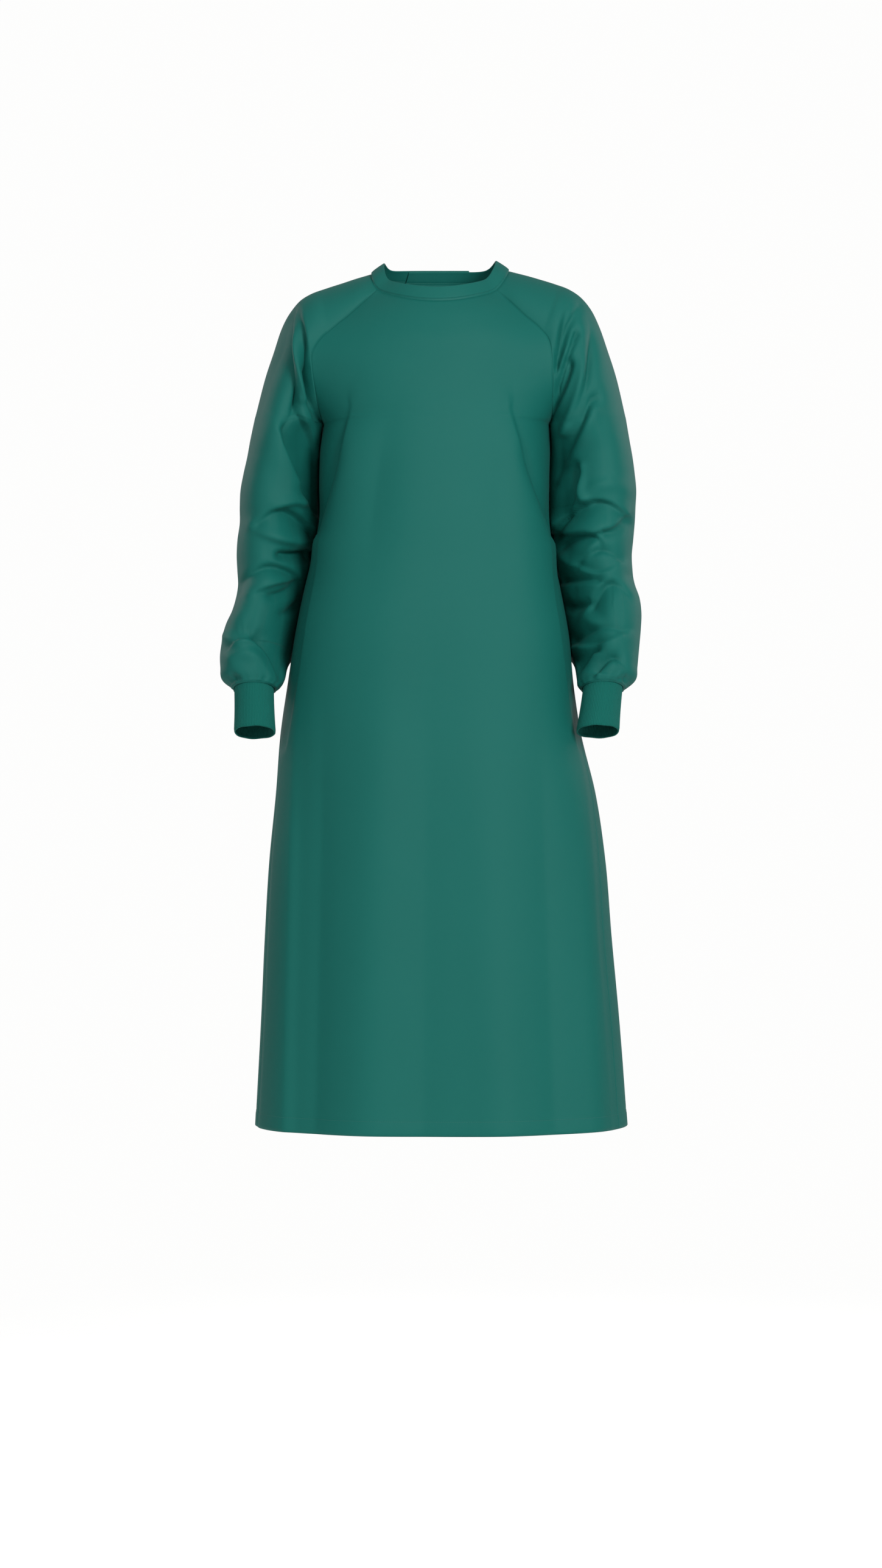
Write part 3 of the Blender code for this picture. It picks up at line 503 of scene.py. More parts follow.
CREASES_BACK = (
    (-128, -120, -100, -230, -40, -400, 12, 16, -3.5, 0.1, 1.0, 0.5),
    (-112, -110, -84, -220, -20, -400, 12, 14, 3.0, 0.1, 1.0, 0.4),
    (126, -130, 116, -240, 96, -400, 12, 14, -3.0, 0.1, 1.0, 0.6),
    (60, -408, 20, -398, -50, -404, 8, 10, -2.5, 0.8, 0.8, 0.1),
    (62, -426, 16, -440, -60, -470, 9, 10, -2.5, 0.8, 0.8, 0.1),
    (-60, -470, -76, -780, -90, -1150, 24, 24, 4.0, 0.1, 0.9, 1.0),
    (-120, -440, -128, -760, -138, -1150, 24, 20, -5.0, 0.1, 0.9, 1.0),
    (-176, -560, -182, -820, -192, -1150, 20, 22, 5.0, 0.1, 0.9, 1.0),
    (0, -500, 6, -800, 10, -1150, 28, 28, -2.5, 0.1, 0.9, 1.0),
    (120, -450, 132, -780, 142, -1150, 22, 24, 5.0, 0.1, 0.9, 1.0),
    (170, -560, 180, -820, 190, -1150, 20, 20, -4.5, 0.1, 0.9, 1.0),
)


def unit(vectors):
    """Each vector at length 1."""
    vectors = np.asarray(vectors, float)
    length = np.linalg.norm(vectors, axis=-1, keepdims=True)
    return vectors / np.maximum(length, 1e-9)


def smoothstep(value, low, high):
    share = np.clip((value - low) / (high - low), 0.0, 1.0)
    return share * share * (3.0 - 2.0 * share)


def power(value, exponent):
    """A power that keeps the sign."""
    return np.sign(value) * np.abs(value) ** exponent


def read_smooth(table, knots, at, turning=()):
    """A table's rows read between its own rows, along smooth curves through them. The columns
    named as turning change direction sharply at the underarm."""
    values, knots, at = np.array(table, float), np.asarray(knots, float), np.asarray(at, float)
    leaving = np.gradient(values, knots, axis=0)
    arriving = leaving.copy()
    for column in turning:
        steps = np.diff(values[:, column]) / np.diff(knots)
        arriving[UNDERARM, column], leaving[UNDERARM, column] = steps[UNDERARM - 1], steps[UNDERARM]
    index = np.clip(np.searchsorted(knots, at) - 1, 0, len(knots) - 2)
    width = (knots[index + 1] - knots[index])[:, None]
    t = (at - knots[index])[:, None] / width
    return (
        (2 * t**3 - 3 * t**2 + 1) * values[index]
        + (t**3 - 2 * t**2 + t) * width * leaving[index]
        + (3 * t**2 - 2 * t**3) * values[index + 1]
        + (t**3 - t**2) * width * arriving[index + 1]
    )


def knots_of(rows):
    """How far down the cloth each row of points lies, on average."""
    apart = np.linalg.norm(np.diff(rows, axis=0), axis=-1).mean(axis=1)
    return np.concatenate(((0.0,), np.cumsum(apart)))


def spaced(length, spacing):
    return np.linspace(0.0, length, max(2, int(round(length / spacing)) + 1))


def armhole_knots():
    """How far down the armhole each of its rows lies, the same for every piece that meets there."""
    rows = []
    for front, back in zip(FRONT_SEAM, BACK_SEAM):
        rows.append([(seam[column], *seam[2:]) for seam in (front, back) for column in (0, 1)])
    return knots_of(np.array(rows, float))


def grid_normals(points):
    """Outward normals of a grid whose columns run left to right as seen from outside."""
    return unit(np.cross(np.gradient(points, axis=0), np.gradient(points, axis=1)))


def distance_across(points, from_last=False):
    """Distance along each row from its first or last point."""
    step = np.linalg.norm(np.diff(points, axis=1), axis=-1)
    start = np.zeros((len(points), 1))
    if from_last:
        return np.concatenate((np.cumsum(step[:, ::-1], axis=1)[:, ::-1], start), axis=1)
    return np.concatenate((start, np.cumsum(step, axis=1)), axis=1)


def distance_down(points):
    step = np.linalg.norm(np.diff(points, axis=0), axis=-1)
    return np.concatenate((np.zeros((1, points.shape[1])), np.cumsum(step, axis=0)))


def crease_height(table, x, z):
    """Height of a table of creases at places on the cloth."""
    total = np.zeros_like(x)
    share = np.linspace(0.0, 1.0, CREASE_STRETCHES + 1)
    early, late = 1 - smoothstep(share, 0.0, 0.5), smoothstep(share, 0.5, 1.0)
    for x1, z1, x2, z2, x3, z3, left, right, height, first, middle, last in table:
        point, rise = (VALLEY_POINT, VALLEY_SHARE) if height < 0 else (RIDGE_POINT, RIDGE_SHARE)
        bend_x, bend_z = 2 * x2 - (x1 + x3) / 2, 2 * z2 - (z1 + z3) / 2
        line_x = (1 - share) ** 2 * x1 + 2 * share * (1 - share) * bend_x + share**2 * x3
        line_z = (1 - share) ** 2 * z1 + 2 * share * (1 - share) * bend_z + share**2 * z3
        strength = first * early + last * late + middle * (1 - early - late)
        # The narrower side is drawn steeper still, and the wider side gentler
        lean = left / right
        left, right = left * lean, right / lean
        reach = CREASE_REACH * max(left, right)
        near = (x > line_x.min() - reach) & (x < line_x.max() + reach)
        near &= (z > line_z.min() - reach) & (z < line_z.max() + reach)
        place_x, place_z = x[near], z[near]
        best, found = np.full(place_x.shape, 1e9), np.zeros(place_x.shape)
        for i in range(CREASE_STRETCHES):
            run_x, run_z = line_x[i + 1] - line_x[i], line_z[i + 1] - line_z[i]
            off_x, off_z = place_x - line_x[i], place_z - line_z[i]
            along = np.clip((off_x * run_x + off_z * run_z) / (run_x**2 + run_z**2), 0.0, 1.0)
            off_x, off_z = off_x - along * run_x, off_z - along * run_z
            distance = np.hypot(off_x, off_z)
            # 1 on the left of the crease's own direction, -1 on its right
            side = (run_x * off_z - run_z * off_x) / (np.hypot(run_x, run_z) * distance + 1e-9)
            half_width = right + (left - right) * smoothstep(side, -1.0, 1.0)
            here = strength[i] + (strength[i + 1] - strength[i]) * along
            value = here * np.exp(-((distance / half_width) ** point))
            found = np.where(distance < best, value, found)
            best = np.minimum(best, distance)
        total[near] += height * found * rise
    return total


def with_close_edges(angles):
    """Rows of angles with more of them close to each end, for the dip at a seam."""
    ends = np.array(EDGE_COLUMNS)
    step = angles[:, 1:2] - angles[:, :1]
    start, finish = angles[:, :1] + step * ends, angles[:, -1:] - step * ends[::-1]
    return np.concatenate((angles[:, :1], start, angles[:, 1:-1], finish, angles[:, -1:]), axis=1)


def seam_forward(side, z):
    """Radians that a side seam lies in front of the side, at heights z."""
    share = smoothstep(-z, -SEAM_FORWARD_FROM, -SEAM_FORWARD_WHOLE)
    return np.radians(SEAM_FORWARD[side]) * share


def body_table(seams, centres, facing):
    """One row for each station of the front or back: left and right x, y and z of the seam, y and
    z of the centre, flatness, and the y that the body reaches past its sides."""
    rows = []
    for (left, right, y, z), (centre_y, centre_z, flat) in zip(seams, centres):
        beyond = BODY[0][4] if facing < 0 else -BODY[0][3]
        rows.append((left, right, y, z, centre_y, centre_z, flat, beyond))
    for z, left, right, front, back in BODY:
        own, other = (-front, back) if facing < 0 else (back, -front)
        rows.append((-left, right, 0.0, z, own, z, BODY_SQUARENESS, other))
    return np.array(rows, float)


def rows_across(table, angles):
    """Points of a panel's rows. An angle is 0 in the middle and a quarter turn at each side."""
    left, right, seam_y, seam_z, centre_y, centre_z, flat, beyond = table.T[:, :, None]
    share = np.sin(angles)
    bulge = np.clip(1.0 - np.abs(share) ** BODY_SQUARENESS, 0.0, 1.0) ** (1.0 / flat)
    reach = np.where(np.cos(angles) < 0.0, beyond, centre_y) - seam_y
    x = (left + right) / 2 + (right - left) / 2 * share
    return np.stack((x, seam_y + reach * bulge, seam_z + (centre_z - seam_z) * (1.0 - share**2)), axis=-1)


def fine_rows(table, angles_of, columns):
    """A panel's fine grid, from its table and a function for the first and last angle of rows,
    with its angles and the fine row on which each row of the table lies."""
    armhole, heights = armhole_knots(), table[:, 3]
    knots = np.concatenate((armhole, armhole[-1] + heights[UNDERARM] - heights[UNDERARM + 1 :]))
    places = np.concatenate(
        (
            np.linspace(0.0, armhole[-1], ARMHOLE_ROWS + 1),
            armhole[-1] + spaced(knots[-1] - armhole[-1], BODY_SPACING)[1:],
        )
    )
    fine = read_smooth(table, knots, places, turning=(0, 1, 2, 3))
    angles = with_close_edges(np.linspace(*angles_of(fine), columns + 1, axis=1))
    return rows_across(fine, angles), angles, np.interp(knots, places, np.arange(len(places)))


def hump(distance, size):
    """A rounded rise of one height and width, at distances from its middle."""
    height, width = size
    return height * np.exp(-((distance / width) ** 2))


def hem_lift(from_edge, depth):
    """A turned hem stands a little proud of the cloth above it and dips at its stitches."""
    before, past = HEM_FADE
    proud = HEM_PROUD * (1.0 - smoothstep(from_edge, depth - before, depth + past))
    return proud - hump(from_edge - depth, HEM_DIP)


def front_panel():
    """The front's grid before and after its creases."""

    def angles_of(table):
        return (
            -math.pi / 2 + seam_forward("left", table[:, 3]),
            math.pi / 2 - seam_forward("right", table[:, 3]),
        )

    raw, _, _ = fine_rows(body_table(FRONT_SEAM, FRONT_CENTRE, -1), angles_of, FRONT_COLUMNS)
    left, right, down = distance_across(raw), distance_across(raw, True), distance_down(raw)
    edges = smoothstep(np.minimum(left, right), *FRONT_SEAM_FADE) * smoothstep(down, *FRONT_NECK_FADE)
    lift = crease_height(CREASES_FRONT, raw[..., 0], raw[..., 2]) * edges
    lift += hem_lift(down[-1:] - down, HEM_DEPTH)
    lift -= hump(left, SEAM_DIP) + hump(right, SEAM_DIP) + hump(down, NECK_DIP)
    return raw, raw + grid_normals(raw) * lift[..., None]


def lap_at(z):
    """Half the lap of the backs, at heights z."""
    return np.interp(z, (BODY[-1][0], BACK_SEAM[0][3]), (LAP_AT_HEM, LAP_AT_NECK))


def back_panel(side):
    """One back's grid before and after its creases. Seen from behind, columns run left to right, so
    the right back starts at its seam and the left back at its free edge."""

    def angles_of(table):
        half_width = (table[:, 1] - table[:, 0]) / 2
        past_centre = np.arcsin(lap_at(table[:, 3]) / half_width)
        seam = math.pi / 2 + seam_forward("left" if side < 0 else "right", table[:, 3])
        return (seam, -past_centre) if side > 0 else (past_centre, -seam)

    raw, angles, _ = fine_rows(body_table(BACK_SEAM, BACK_CENTRE, 1), angles_of, BACK_COLUMNS)
    from_seam, from_edge = distance_across(raw, side < 0), distance_across(raw, side > 0)
    down = distance_down(raw)
    normals = grid_normals(raw)
    if side > 0:
        away = 1.0 - smoothstep(raw[..., 0] - lap_at(raw[..., 2]), *LAP_RAMP)
        depth = LAP_DEPTH * np.where(np.cos(angles) < 0.5, 0.0, away)
        raw = raw - normals * depth[..., None]
    edges = smoothstep(from_seam, *BACK_SEAM_FADE) * smoothstep(down, *BACK_NECK_FADE)
    lift = crease_height(CREASES_BACK, raw[..., 0], raw[..., 2]) * edges
    lift += hem_lift(down[-1:] - down, HEM_DEPTH) + hem_lift(from_edge, EDGE_HEM_DEPTH)
    lift -= hump(from_seam, SEAM_DIP) + hump(down, NECK_DIP)
    return raw, raw + normals * lift[..., None]


def body_half_width(side, y, z):
    """Half width of the body at one side, at a depth y and a height z."""
    table = np.array((BODY_AT_UNDERARM,) + BODY, float)[::-1]
    left, right, front, back = (np.interp(z, table[:, 0], table[:, i]) for i in (1, 2, 3, 4))
    depth = np.where(y < 0, front, back)
    inside = np.clip(1.0 - np.abs(y / depth) ** BODY_SQUARENESS, 0.0, 1.0)
    middle, half = (right - left) / 2, (right + left) / 2
    return half * inside ** (1.0 / BODY_SQUARENESS) + side * middle


def arch(front, back, top, half_depth, square):
    """Sleeve points from the front seam over the top of the shoulder to the back seam."""
    middle = (front + back) / 2
    chord = np.linalg.norm(front - back) / 2
    forward = unit(front - back) if chord > 1.0 else np.array((0.0, -1.0, 0.0))
    reach = math.pi - math.asin(min(1.0, chord / half_depth)) if half_depth > chord else math.pi / 2
    half_depth = max(half_depth, chord)
    out = (top - middle) / (1.0 - math.cos(reach))
    angle = with_close_edges(np.linspace(reach, -reach, SLEEVE_COLUMNS + 1)[None, :])[0]
    x = power(np.cos(angle), 2.0 / square)[:, None]
    y = power(np.sin(angle), 2.0 / square)[:, None]
    return top - out + x * out + y * half_depth * forward, angle


def sleeve_ring(z, outer, inner, y, half_depth, lean, tilt):
    """A closed ring of a sleeve. Tilt is how much higher its outside is than its middle."""
    angle = with_close_edges(np.linspace(math.pi, -math.pi, SLEEVE_COLUMNS + 1)[None, :])[0]
    lean = math.radians(lean)
    forward = half_depth * np.array((0.0, -math.cos(lean), math.sin(lean)))
    centre, out = np.array(((outer + inner) / 2, y, z)), np.array(((outer - inner) / 2, 0.0, tilt))
    return centre + np.cos(angle)[:, None] * out + np.sin(angle)[:, None] * forward, angle


def cuff_axes(side, end):
    """Centre, sideways and forward half axes of one end of a cuff: end 0 is its top."""
    x, y, z, half_width, half_depth = CUFF[side][end]
    lean = math.radians(CUFF_LEAN)
    out = -half_width if side == "left" else half_width
    forward = half_depth * np.array((0.0, -math.cos(lean), math.sin(lean)))
    return np.array((x, y, z)), np.array((out, 0.0, 0.0)), forward


def sleeve_tables(side):
    """The sleeve's rows above the underarm and its rings below, as two tables."""
    sign, column = (-1, 0) if side == "left" else (1, 1)
    own = slice(2 * column, 2 * column + 2)
    upper = [
        (front[column], *front[2:], back[column], *back[2:], *top[own], *top[4:])
        for front, back, top in zip(FRONT_SEAM, BACK_SEAM, SHOULDER)
    ]
    under, top = FRONT_SEAM[-1], SHOULDER[-1]
    (top_x, top_z), half_depth = top[own], top[4]
    tilt = (top_z - under[3]) / 2
    lower = [(under[3] + tilt, top_x, under[column], under[2], half_depth, 0.0, tilt)]
    for z, *both, y, half_depth, lean in SLEEVE:
        lower.append((z, *both[own], y, half_depth, lean, 0.0))
    x, y, z, half_width, half_depth = CUFF[side][0]
    half_width, half_depth = half_width + CUFF_JOIN, half_depth + CUFF_JOIN
    lower.append((z, x + sign * half_width, x - sign * half_width, y, half_depth, CUFF_LEAN, 0.0))
    return upper, lower


def read_rows(table, knots, places, make_row):
    """Rows of points and angles made from a table that is read finely."""
    made = [make_row(*row) for row in read_smooth(table, knots, places)]
    return np.array([points for points, _ in made]), np.array([angle for _, angle in made])


def lie_along_body(points, angles, sign):
    """A sleeve whose rings have their inside moved back and, behind the body's side, drawn to it."""
    x, y, z = np.moveaxis(points, -1, 0)
    inner = (1.0 - np.cos(angles)) / 2
    end = 1.0 - smoothstep(-z, *HUG_END)
    y = y + INNER_BACK * smoothstep(-z, *INNER_BACK_FADE) * end * inner**2
    out, beside = sign * x, body_half_width(sign, y, z) + SLEEVE_CLEARANCE
    hug = SLEEVE_HUG * smoothstep(-z, *HUG_FADE) * end * smoothstep(inner, *HUG_INNER)
    ahead = HUG_AHEAD * (1.0 - smoothstep(-z, *HUG_AHEAD_FADE))
    hug *= smoothstep(y + ahead, *HUG_FRONT) * (1.0 - smoothstep(y, *HUG_BACK))
    return np.stack((sign * (out + (beside - out) * hug), y, z), axis=-1)


def waves(table, angles):
    """Uneven waves round a tube, from the size, count and turn of each."""
    return sum(size * np.sin(count * angles + turn) for size, count, turn in table)


def gathers(angles, from_cuff):
    """Small uneven tucks where the sleeve is sewn to its cuff."""
    near = smoothstep(GATHER_REACH - from_cuff, 0.0, GATHER_FADE) * smoothstep(from_cuff, *GATHER_START)
    return GATHER_HEIGHT * waves(GATHER_WAVES, angles) * near


def sleeve_tube(side):
    """A sleeve's grid before and after its creases."""

    def arch_row(fx, fy, fz, bx, by, bz, top_x, top_z, half_depth, square):
        front, back = np.array((fx, fy, fz)), np.array((bx, by, bz))
        return arch(front, back, np.array((top_x, 0.0, top_z)), half_depth, square)

    sign = -1 if side == "left" else 1
    upper, lower = sleeve_tables(side)
    knots = armhole_knots()
    places = np.linspace(0.0, knots[-1], ARMHOLE_ROWS + 1)
    upper_rows, upper_angles = read_rows(upper, knots, places, arch_row)
    knots = knots_of(np.array([sleeve_ring(*row)[0] for row in lower]))
    near_cuff = knots[-1] - np.array(CUFF_ROLL_ROWS)
    places = np.concatenate((spaced(near_cuff[0], SLEEVE_SPACING)[:-1], near_cuff))
    lower_rows, lower_angles = read_rows(lower, knots, places, sleeve_ring)
    raw = np.concatenate((upper_rows, lower_rows[1:]))
    angles = np.concatenate((upper_angles, lower_angles[1:]))
    raw = lie_along_body(raw, angles, sign)
    if side == "left":
        raw, angles = raw[:, ::-1], angles[:, ::-1]
    normals = grid_normals(raw)
    down = distance_down(raw)
    left, right = distance_across(raw), distance_across(raw, True)
    from_cuff = down[-1:] - down
    is_open = np.arange(len(raw))[:, None] <= ARMHOLE_ROWS
    edges = smoothstep(np.minimum(left, right), 0.0, np.where(is_open, *SLEEVE_SEAM_FADE))
    ends = smoothstep(down, *SLEEVE_NECK_FADE) * smoothstep(from_cuff, *SLEEVE_CUFF_FADE)
    ahead = smoothstep(-normals[..., 1], *SLEEVE_FACING)
    behind = smoothstep(normals[..., 1], *SLEEVE_FACING)
    x, z = raw[..., 0], raw[..., 2]
    lift = crease_height(CREASES_SLEEVE_FRONT[side], x, z) * ahead
    lift += crease_height(CREASES_SLEEVE_BACK[side], x, z) * behind
    lift = lift * edges * ends + gathers(angles, from_cuff)
    lift += hump(from_cuff - CUFF_ROLL_AT, CUFF_ROLL)
    lift -= np.where(is_open, hump(left, SEAM_DIP) + hump(right, SEAM_DIP), 0.0) + hump(down, NECK_DIP)
    points = raw + normals * lift[..., None]
    # Below the armhole the first and last columns are one line, under the arm
    sew(points, 0, points, -1, slice(ARMHOLE_ROWS + 1, None))
    lower_part = points[ARMHOLE_ROWS:]
    away = smoothstep(np.arange(len(lower_part))[:, None], 0.0, CLEARANCE_ROWS)
    gap = UNDERARM_CLEARANCE + (SLEEVE_CLEARANCE - UNDERARM_CLEARANCE) * away
    least = body_half_width(sign, lower_part[..., 1], lower_part[..., 2]) + gap
    lower_part[..., 0] = sign * np.maximum(sign * lower_part[..., 0], least)
    return raw, points


def sew(first, column, second, other, rows):
    """The edges of two grids brought to one line, so that no light shows through their seam."""
    middle = (first[rows, column] + second[rows, other]) / 2
    first[rows, column] = second[rows, other] = middle


def evened(values, along, reach):
    """Values along a line, each the mean of its neighbours within a reach."""
    share = np.exp(-(((along[:, None] - along[None, :]) / reach) ** 2)) * np.gradient(along)
    return share @ values / share.sum(axis=1, keepdims=True)


def length_along(line):
    return np.concatenate(((0.0,), np.cumsum(np.linalg.norm(np.diff(line, axis=0), axis=1))))


def even_neck(grids):
    """The panels' neck edges drawn to one smooth line, and the cloth just below them with it."""
    edge = np.concatenate([raw[0] for raw, _ in grids])
    along = length_along(edge)
    ends = smoothstep(np.minimum(along, along[-1] - along), 0.0, 40.0)[:, None]
    shift = (evened(edge, along, NECK_EVEN) - edge) * ends
    taken = 0
    for raw, points in grids:
        own = shift[taken : taken + raw.shape[1]]
        taken += raw.shape[1]
        share = 1.0 - smoothstep(distance_down(raw), 0.0, NECK_EVEN_DOWN)
        raw += own * share[..., None]
        points += own * share[..., None]


def neck_band(bottom, outward, tuck):
    """Section rows of the band: up its outside, over the fold at its top, down its inside and on
    under the panels along the two lines of its tuck."""
    level = unit(bottom * (1.0, 1.0, 0.0) - np.array(BAND_MIDDLE))
    side = (np.abs(bottom[:, :1]) / BAND_SIDE_AT) ** 3
    lean = BAND_LEAN_IN + BAND_SIDE_LEAN_IN * side
    rise = BAND_RISE - BAND_SIDE_FALL * side
    base = bottom + outward * BAND_PROUD

    def at(share):
        return base - level * lean * share**1.2 + np.array((0.0, 0.0, 1.0)) * rise * share

    shares = np.linspace(0.0, 1.0, BAND_ROWS)
    centre_line = np.array([at(share) for share in shares])
    up = unit(np.gradient(centre_line, axis=0))
    inward = unit(np.cross(np.gradient(centre_line, axis=1), up))
    half = BAND_THICKNESS / 2
    outside, inside = [], []
    for i, share in enumerate(shares):
        height = share * BAND_RISE
        puff = BAND_PUFF * math.sin(math.pi * min(1.0, share * 1.1))
        puff -= hump(height - BAND_STITCH, BAND_STITCH_DIP) + hump(height, BAND_FOOT_DIP)
        outside.append(centre_line[i] - inward[i] * puff)
        inside.append(centre_line[i] + inward[i] * BAND_THICKNESS)
    top = centre_line[-1] + inward[-1] * half
    fold = [
        top - inward[-1] * half * math.cos(turn) + up[-1] * half * math.sin(turn)
        for turn in np.linspace(0.0, math.pi, 8)[1:-1]
    ]
    return np.array(outside + fold + inside[::-1] + [*tuck, bottom - outward * BAND_TUCK[1]])


def mesh_object(name, points, faces, uvs=None, edges=()):
    """A mesh object at the origin from points in millimetres."""
    data = bpy.data.meshes.new(name)
    data.from_pydata((np.asarray(points) * METRES).tolist(), list(edges), faces)
    if uvs is not None:
        layer = data.uv_layers.new(name="UVMap")
        loops = np.empty(len(data.loops), np.int32)
        data.loops.foreach_get("vertex_index", loops)
        layer.data.foreach_set("uv", (uvs[loops] * METRES).astype(np.float32).ravel())
    data.shade_smooth()
    thing = bpy.data.objects.new(name, data)
    bpy.context.scene.collection.objects.link(thing)
    return thing


def grid_faces(rows, columns):
    """Faces of a grid of points, seen from outside with columns running left to right."""
    index = np.arange(rows * columns).reshape(rows, columns)
    corners = (index[:-1, :-1], index[1:, :-1], index[1:, 1:], index[:-1, 1:])
    return np.stack([corner.ravel() for corner in corners], axis=-1).tolist()


def cloth_uvs(points):
    """UVs of a grid in millimetres of cloth, measured from its middle column and top row."""
    middle = distance_across(points)
    middle = middle - middle[:, points.shape[1] // 2][:, None]
    return np.stack((middle, -distance_down(points)), axis=-1).reshape(-1, 2)


def change_mesh(thing, change):
    """Runs one change on an object's mesh."""
    mesh = bmesh.new()
    mesh.from_mesh(thing.data)
    change(mesh)
    mesh.to_mesh(thing.data)
    mesh.free()
    thing.data.shade_smooth()


def grid_object(name, points, attributes=None):
    """A smooth surface through a grid of points, with the points that meet made one."""
    thing = mesh_object(name, points.reshape(-1, 3), grid_faces(*points.shape[:2]), cloth_uvs(points))
    for label, values in (attributes or {}).items():
        layer = thing.data.attributes.new(label, "FLOAT", "POINT")
        layer.data.foreach_set("value", values.astype(np.float32))
    change_mesh(thing, lambda mesh: bmesh.ops.remove_doubles(mesh, verts=mesh.verts, dist=SAME_PLACE))
    return thing


def thicken(thing, thickness):
    """Gives a surface the thickness of cloth, on its inside."""
    shell = thing.modifiers.new("cloth", "SOLIDIFY")
    shell.thickness = thickness * METRES
    shell.offset = -1.0


def cloth_sheet(name, points, material):
    """A thin shell of cloth whose outside is the grid of points."""
    thing = grid_object(name, points)
    thing.data.materials.append(material)
    thicken(thing, CLOTH_THICKNESS)
    return thing


def line_down(points, distance, from_last=False):
    """Places at one distance from the first or last column, from top to bottom."""
    measured = distance_across(points, from_last)
    line = []
    for row, along in zip(points, measured):
        order = np.argsort(along)
        line.append([np.interp(distance, along[order], row[order, i]) for i in range(3)])
    return np.array(line)


def line_across(points, distance):
    """Places at one distance above the last row, from left to right."""
    turned = points.transpose(1, 0, 2)
    return line_down(turned, distance, True)


class Value:
    """An output socket of a material's nodes, which takes part in sums as a number does."""

    def __init__(self, finish, socket):
        self.finish, self.socket = finish, socket

    def output(self, name):
        return Value(self.finish, self.socket.node.outputs[name])

    def math(self, operation, *numbers):
        return self.finish.node("ShaderNodeMath", {"operation": operation}, dict(enumerate(numbers)))

    def __add__(self, other):
        return self.math("ADD", self, other)

    def __mul__(self, other):
        return self.math("MULTIPLY", self, other)

    def __pow__(self, other):
        return self.math("POWER", self, other)

    __radd__, __rmul__ = __add__, __mul__

    def sine(self):
        return self.math("SINE", self)

    def size(self):
        return self.math("ABSOLUTE", self)


class Finish:
    """A material and its nodes."""

    def __init__(self, name):
        self.material = bpy.data.materials.new(name)
        self.material.use_nodes = True
        self.tree = self.material.node_tree
        self.tree.nodes.clear()

    def node(self, kind, settings=None, sockets=None):
        """A node of one kind, with its settings, then the values or links of its sockets."""
        node = self.tree.nodes.new(kind)
        for name, value in (settings or {}).items():
            setattr(node, name, value)
        for name, value in (sockets or {}).items():
            if isinstance(value, Value):
                self.tree.links.new(value.socket, node.inputs[name])
            else:
                node.inputs[name].default_value = value
        return Value(self, node.outputs[0]) if node.outputs else None

    def place(self):
        """Where the shaded point lies on its object, in metres."""
        return self.node("ShaderNodeTexCoord").output("Object")

    def flat_cloth(self):
        """Where it lies on the flat cloth, in metres: the place, and how far across and down."""
        flat = self.node("ShaderNodeUVMap", {"uv_map": "UVMap"})
        across = self.node("ShaderNodeSeparateXYZ", {}, {0: flat})
        return flat, across, across.output("Y")

    def noise(self, place, scale, detail=2.0, distortion=0.0):
        """Noise from 0 to 1."""
        sockets = {"Vector": place, "Scale": scale, "Detail": detail, "Distortion": distortion}
        return self.node("ShaderNodeTexNoise", {}, sockets)

    def shade(self, colour, share):
        """One colour made lighter and darker by a share around 1."""
        return self.node("ShaderNodeVectorMath", {"operation": "SCALE"}, {0: colour, "Scale": share})

    def surface(
        self, colour, roughness, height, depth=METRES, sheen=0.0, specular=0.3, glow=0.0, alpha=1.0
    ):
        """The shader itself. Height is in shares of a depth in metres."""
        bump = self.node("ShaderNodeBump", {}, {"Height": height, "Distance": depth, "Strength": 1.0})
        shader = self.node(
            "ShaderNodeBsdfPrincipled",
            {},
            {
                "Base Color": colour,
                "Roughness": roughness,
                "Normal": bump,
                "Sheen Weight": sheen,
                "Sheen Roughness": 0.35,
                "Sheen Tint": SHEEN_TINT,
                "Specular IOR Level": specular,
                "Emission Color": (1.0, 1.0, 1.0, 1.0),
                "Emission Strength": glow,
                "Alpha": alpha,
            },
        )
        self.node("ShaderNodeOutputMaterial", {}, {"Surface": shader})
        return self.material


def woven_cloth():
    """Close plain weave with a soft sheen, faint slubs and shallow rumples."""
    finish = Finish("gown_cloth")
    flat, across, down = finish.flat_cloth()
    place = finish.place()
    turn = 2.0 * math.pi / (THREAD_PITCH * METRES)
    weave = (across * turn).sine() * (down * turn).sine()
    rumple = finish.noise(place, scale=26.0, detail=3.0, distortion=0.6)
    slub = finish.noise(flat, scale=420.0)
    cloudy = finish.noise(place, scale=7.0)
    # Besides random tone from the clouds and slubs, the colour is painted lighter where the weave stands
    # up and darker where it sinks: painted shade and highlight of the weave's relief.
    share = 0.93 + 0.09 * cloudy + 0.05 * slub + 0.02 * weave
    height = weave * 0.05 + slub * 0.05 + rumple * RUMPLE_SHARE
    roughness = 0.44 + 0.08 * slub
    return finish.surface(finish.shade(CLOTH_COLOUR, share), roughness, height, sheen=0.03, specular=0.12)


def rib_knit():
    """Fine columns of knit loops along the ribs."""
    finish = Finish("rib_knit")
    flat, across, down = finish.flat_cloth()
    turn = 2.0 * math.pi / (LOOP_PITCH * METRES)
    lean = (across * turn).sine() * 1.6
    loops = (down * turn * 1.3 + lean).sine()
    fuzz = finish.noise(flat, scale=700.0, detail=3.0)
    # Besides random fuzz, the knit's colour is painted darker where its loops sink and lighter where they
    # stand: painted shade and highlight of the loops' relief.
    share = 0.88 + 0.10 * loops + 0.14 * fuzz
    roughness = 0.72 + 0.1 * fuzz
    height = loops * 0.16 + fuzz * 0.12
    return finish.surface(finish.shade(KNIT_COLOUR, share), roughness, height, sheen=0.05, specular=0.12)


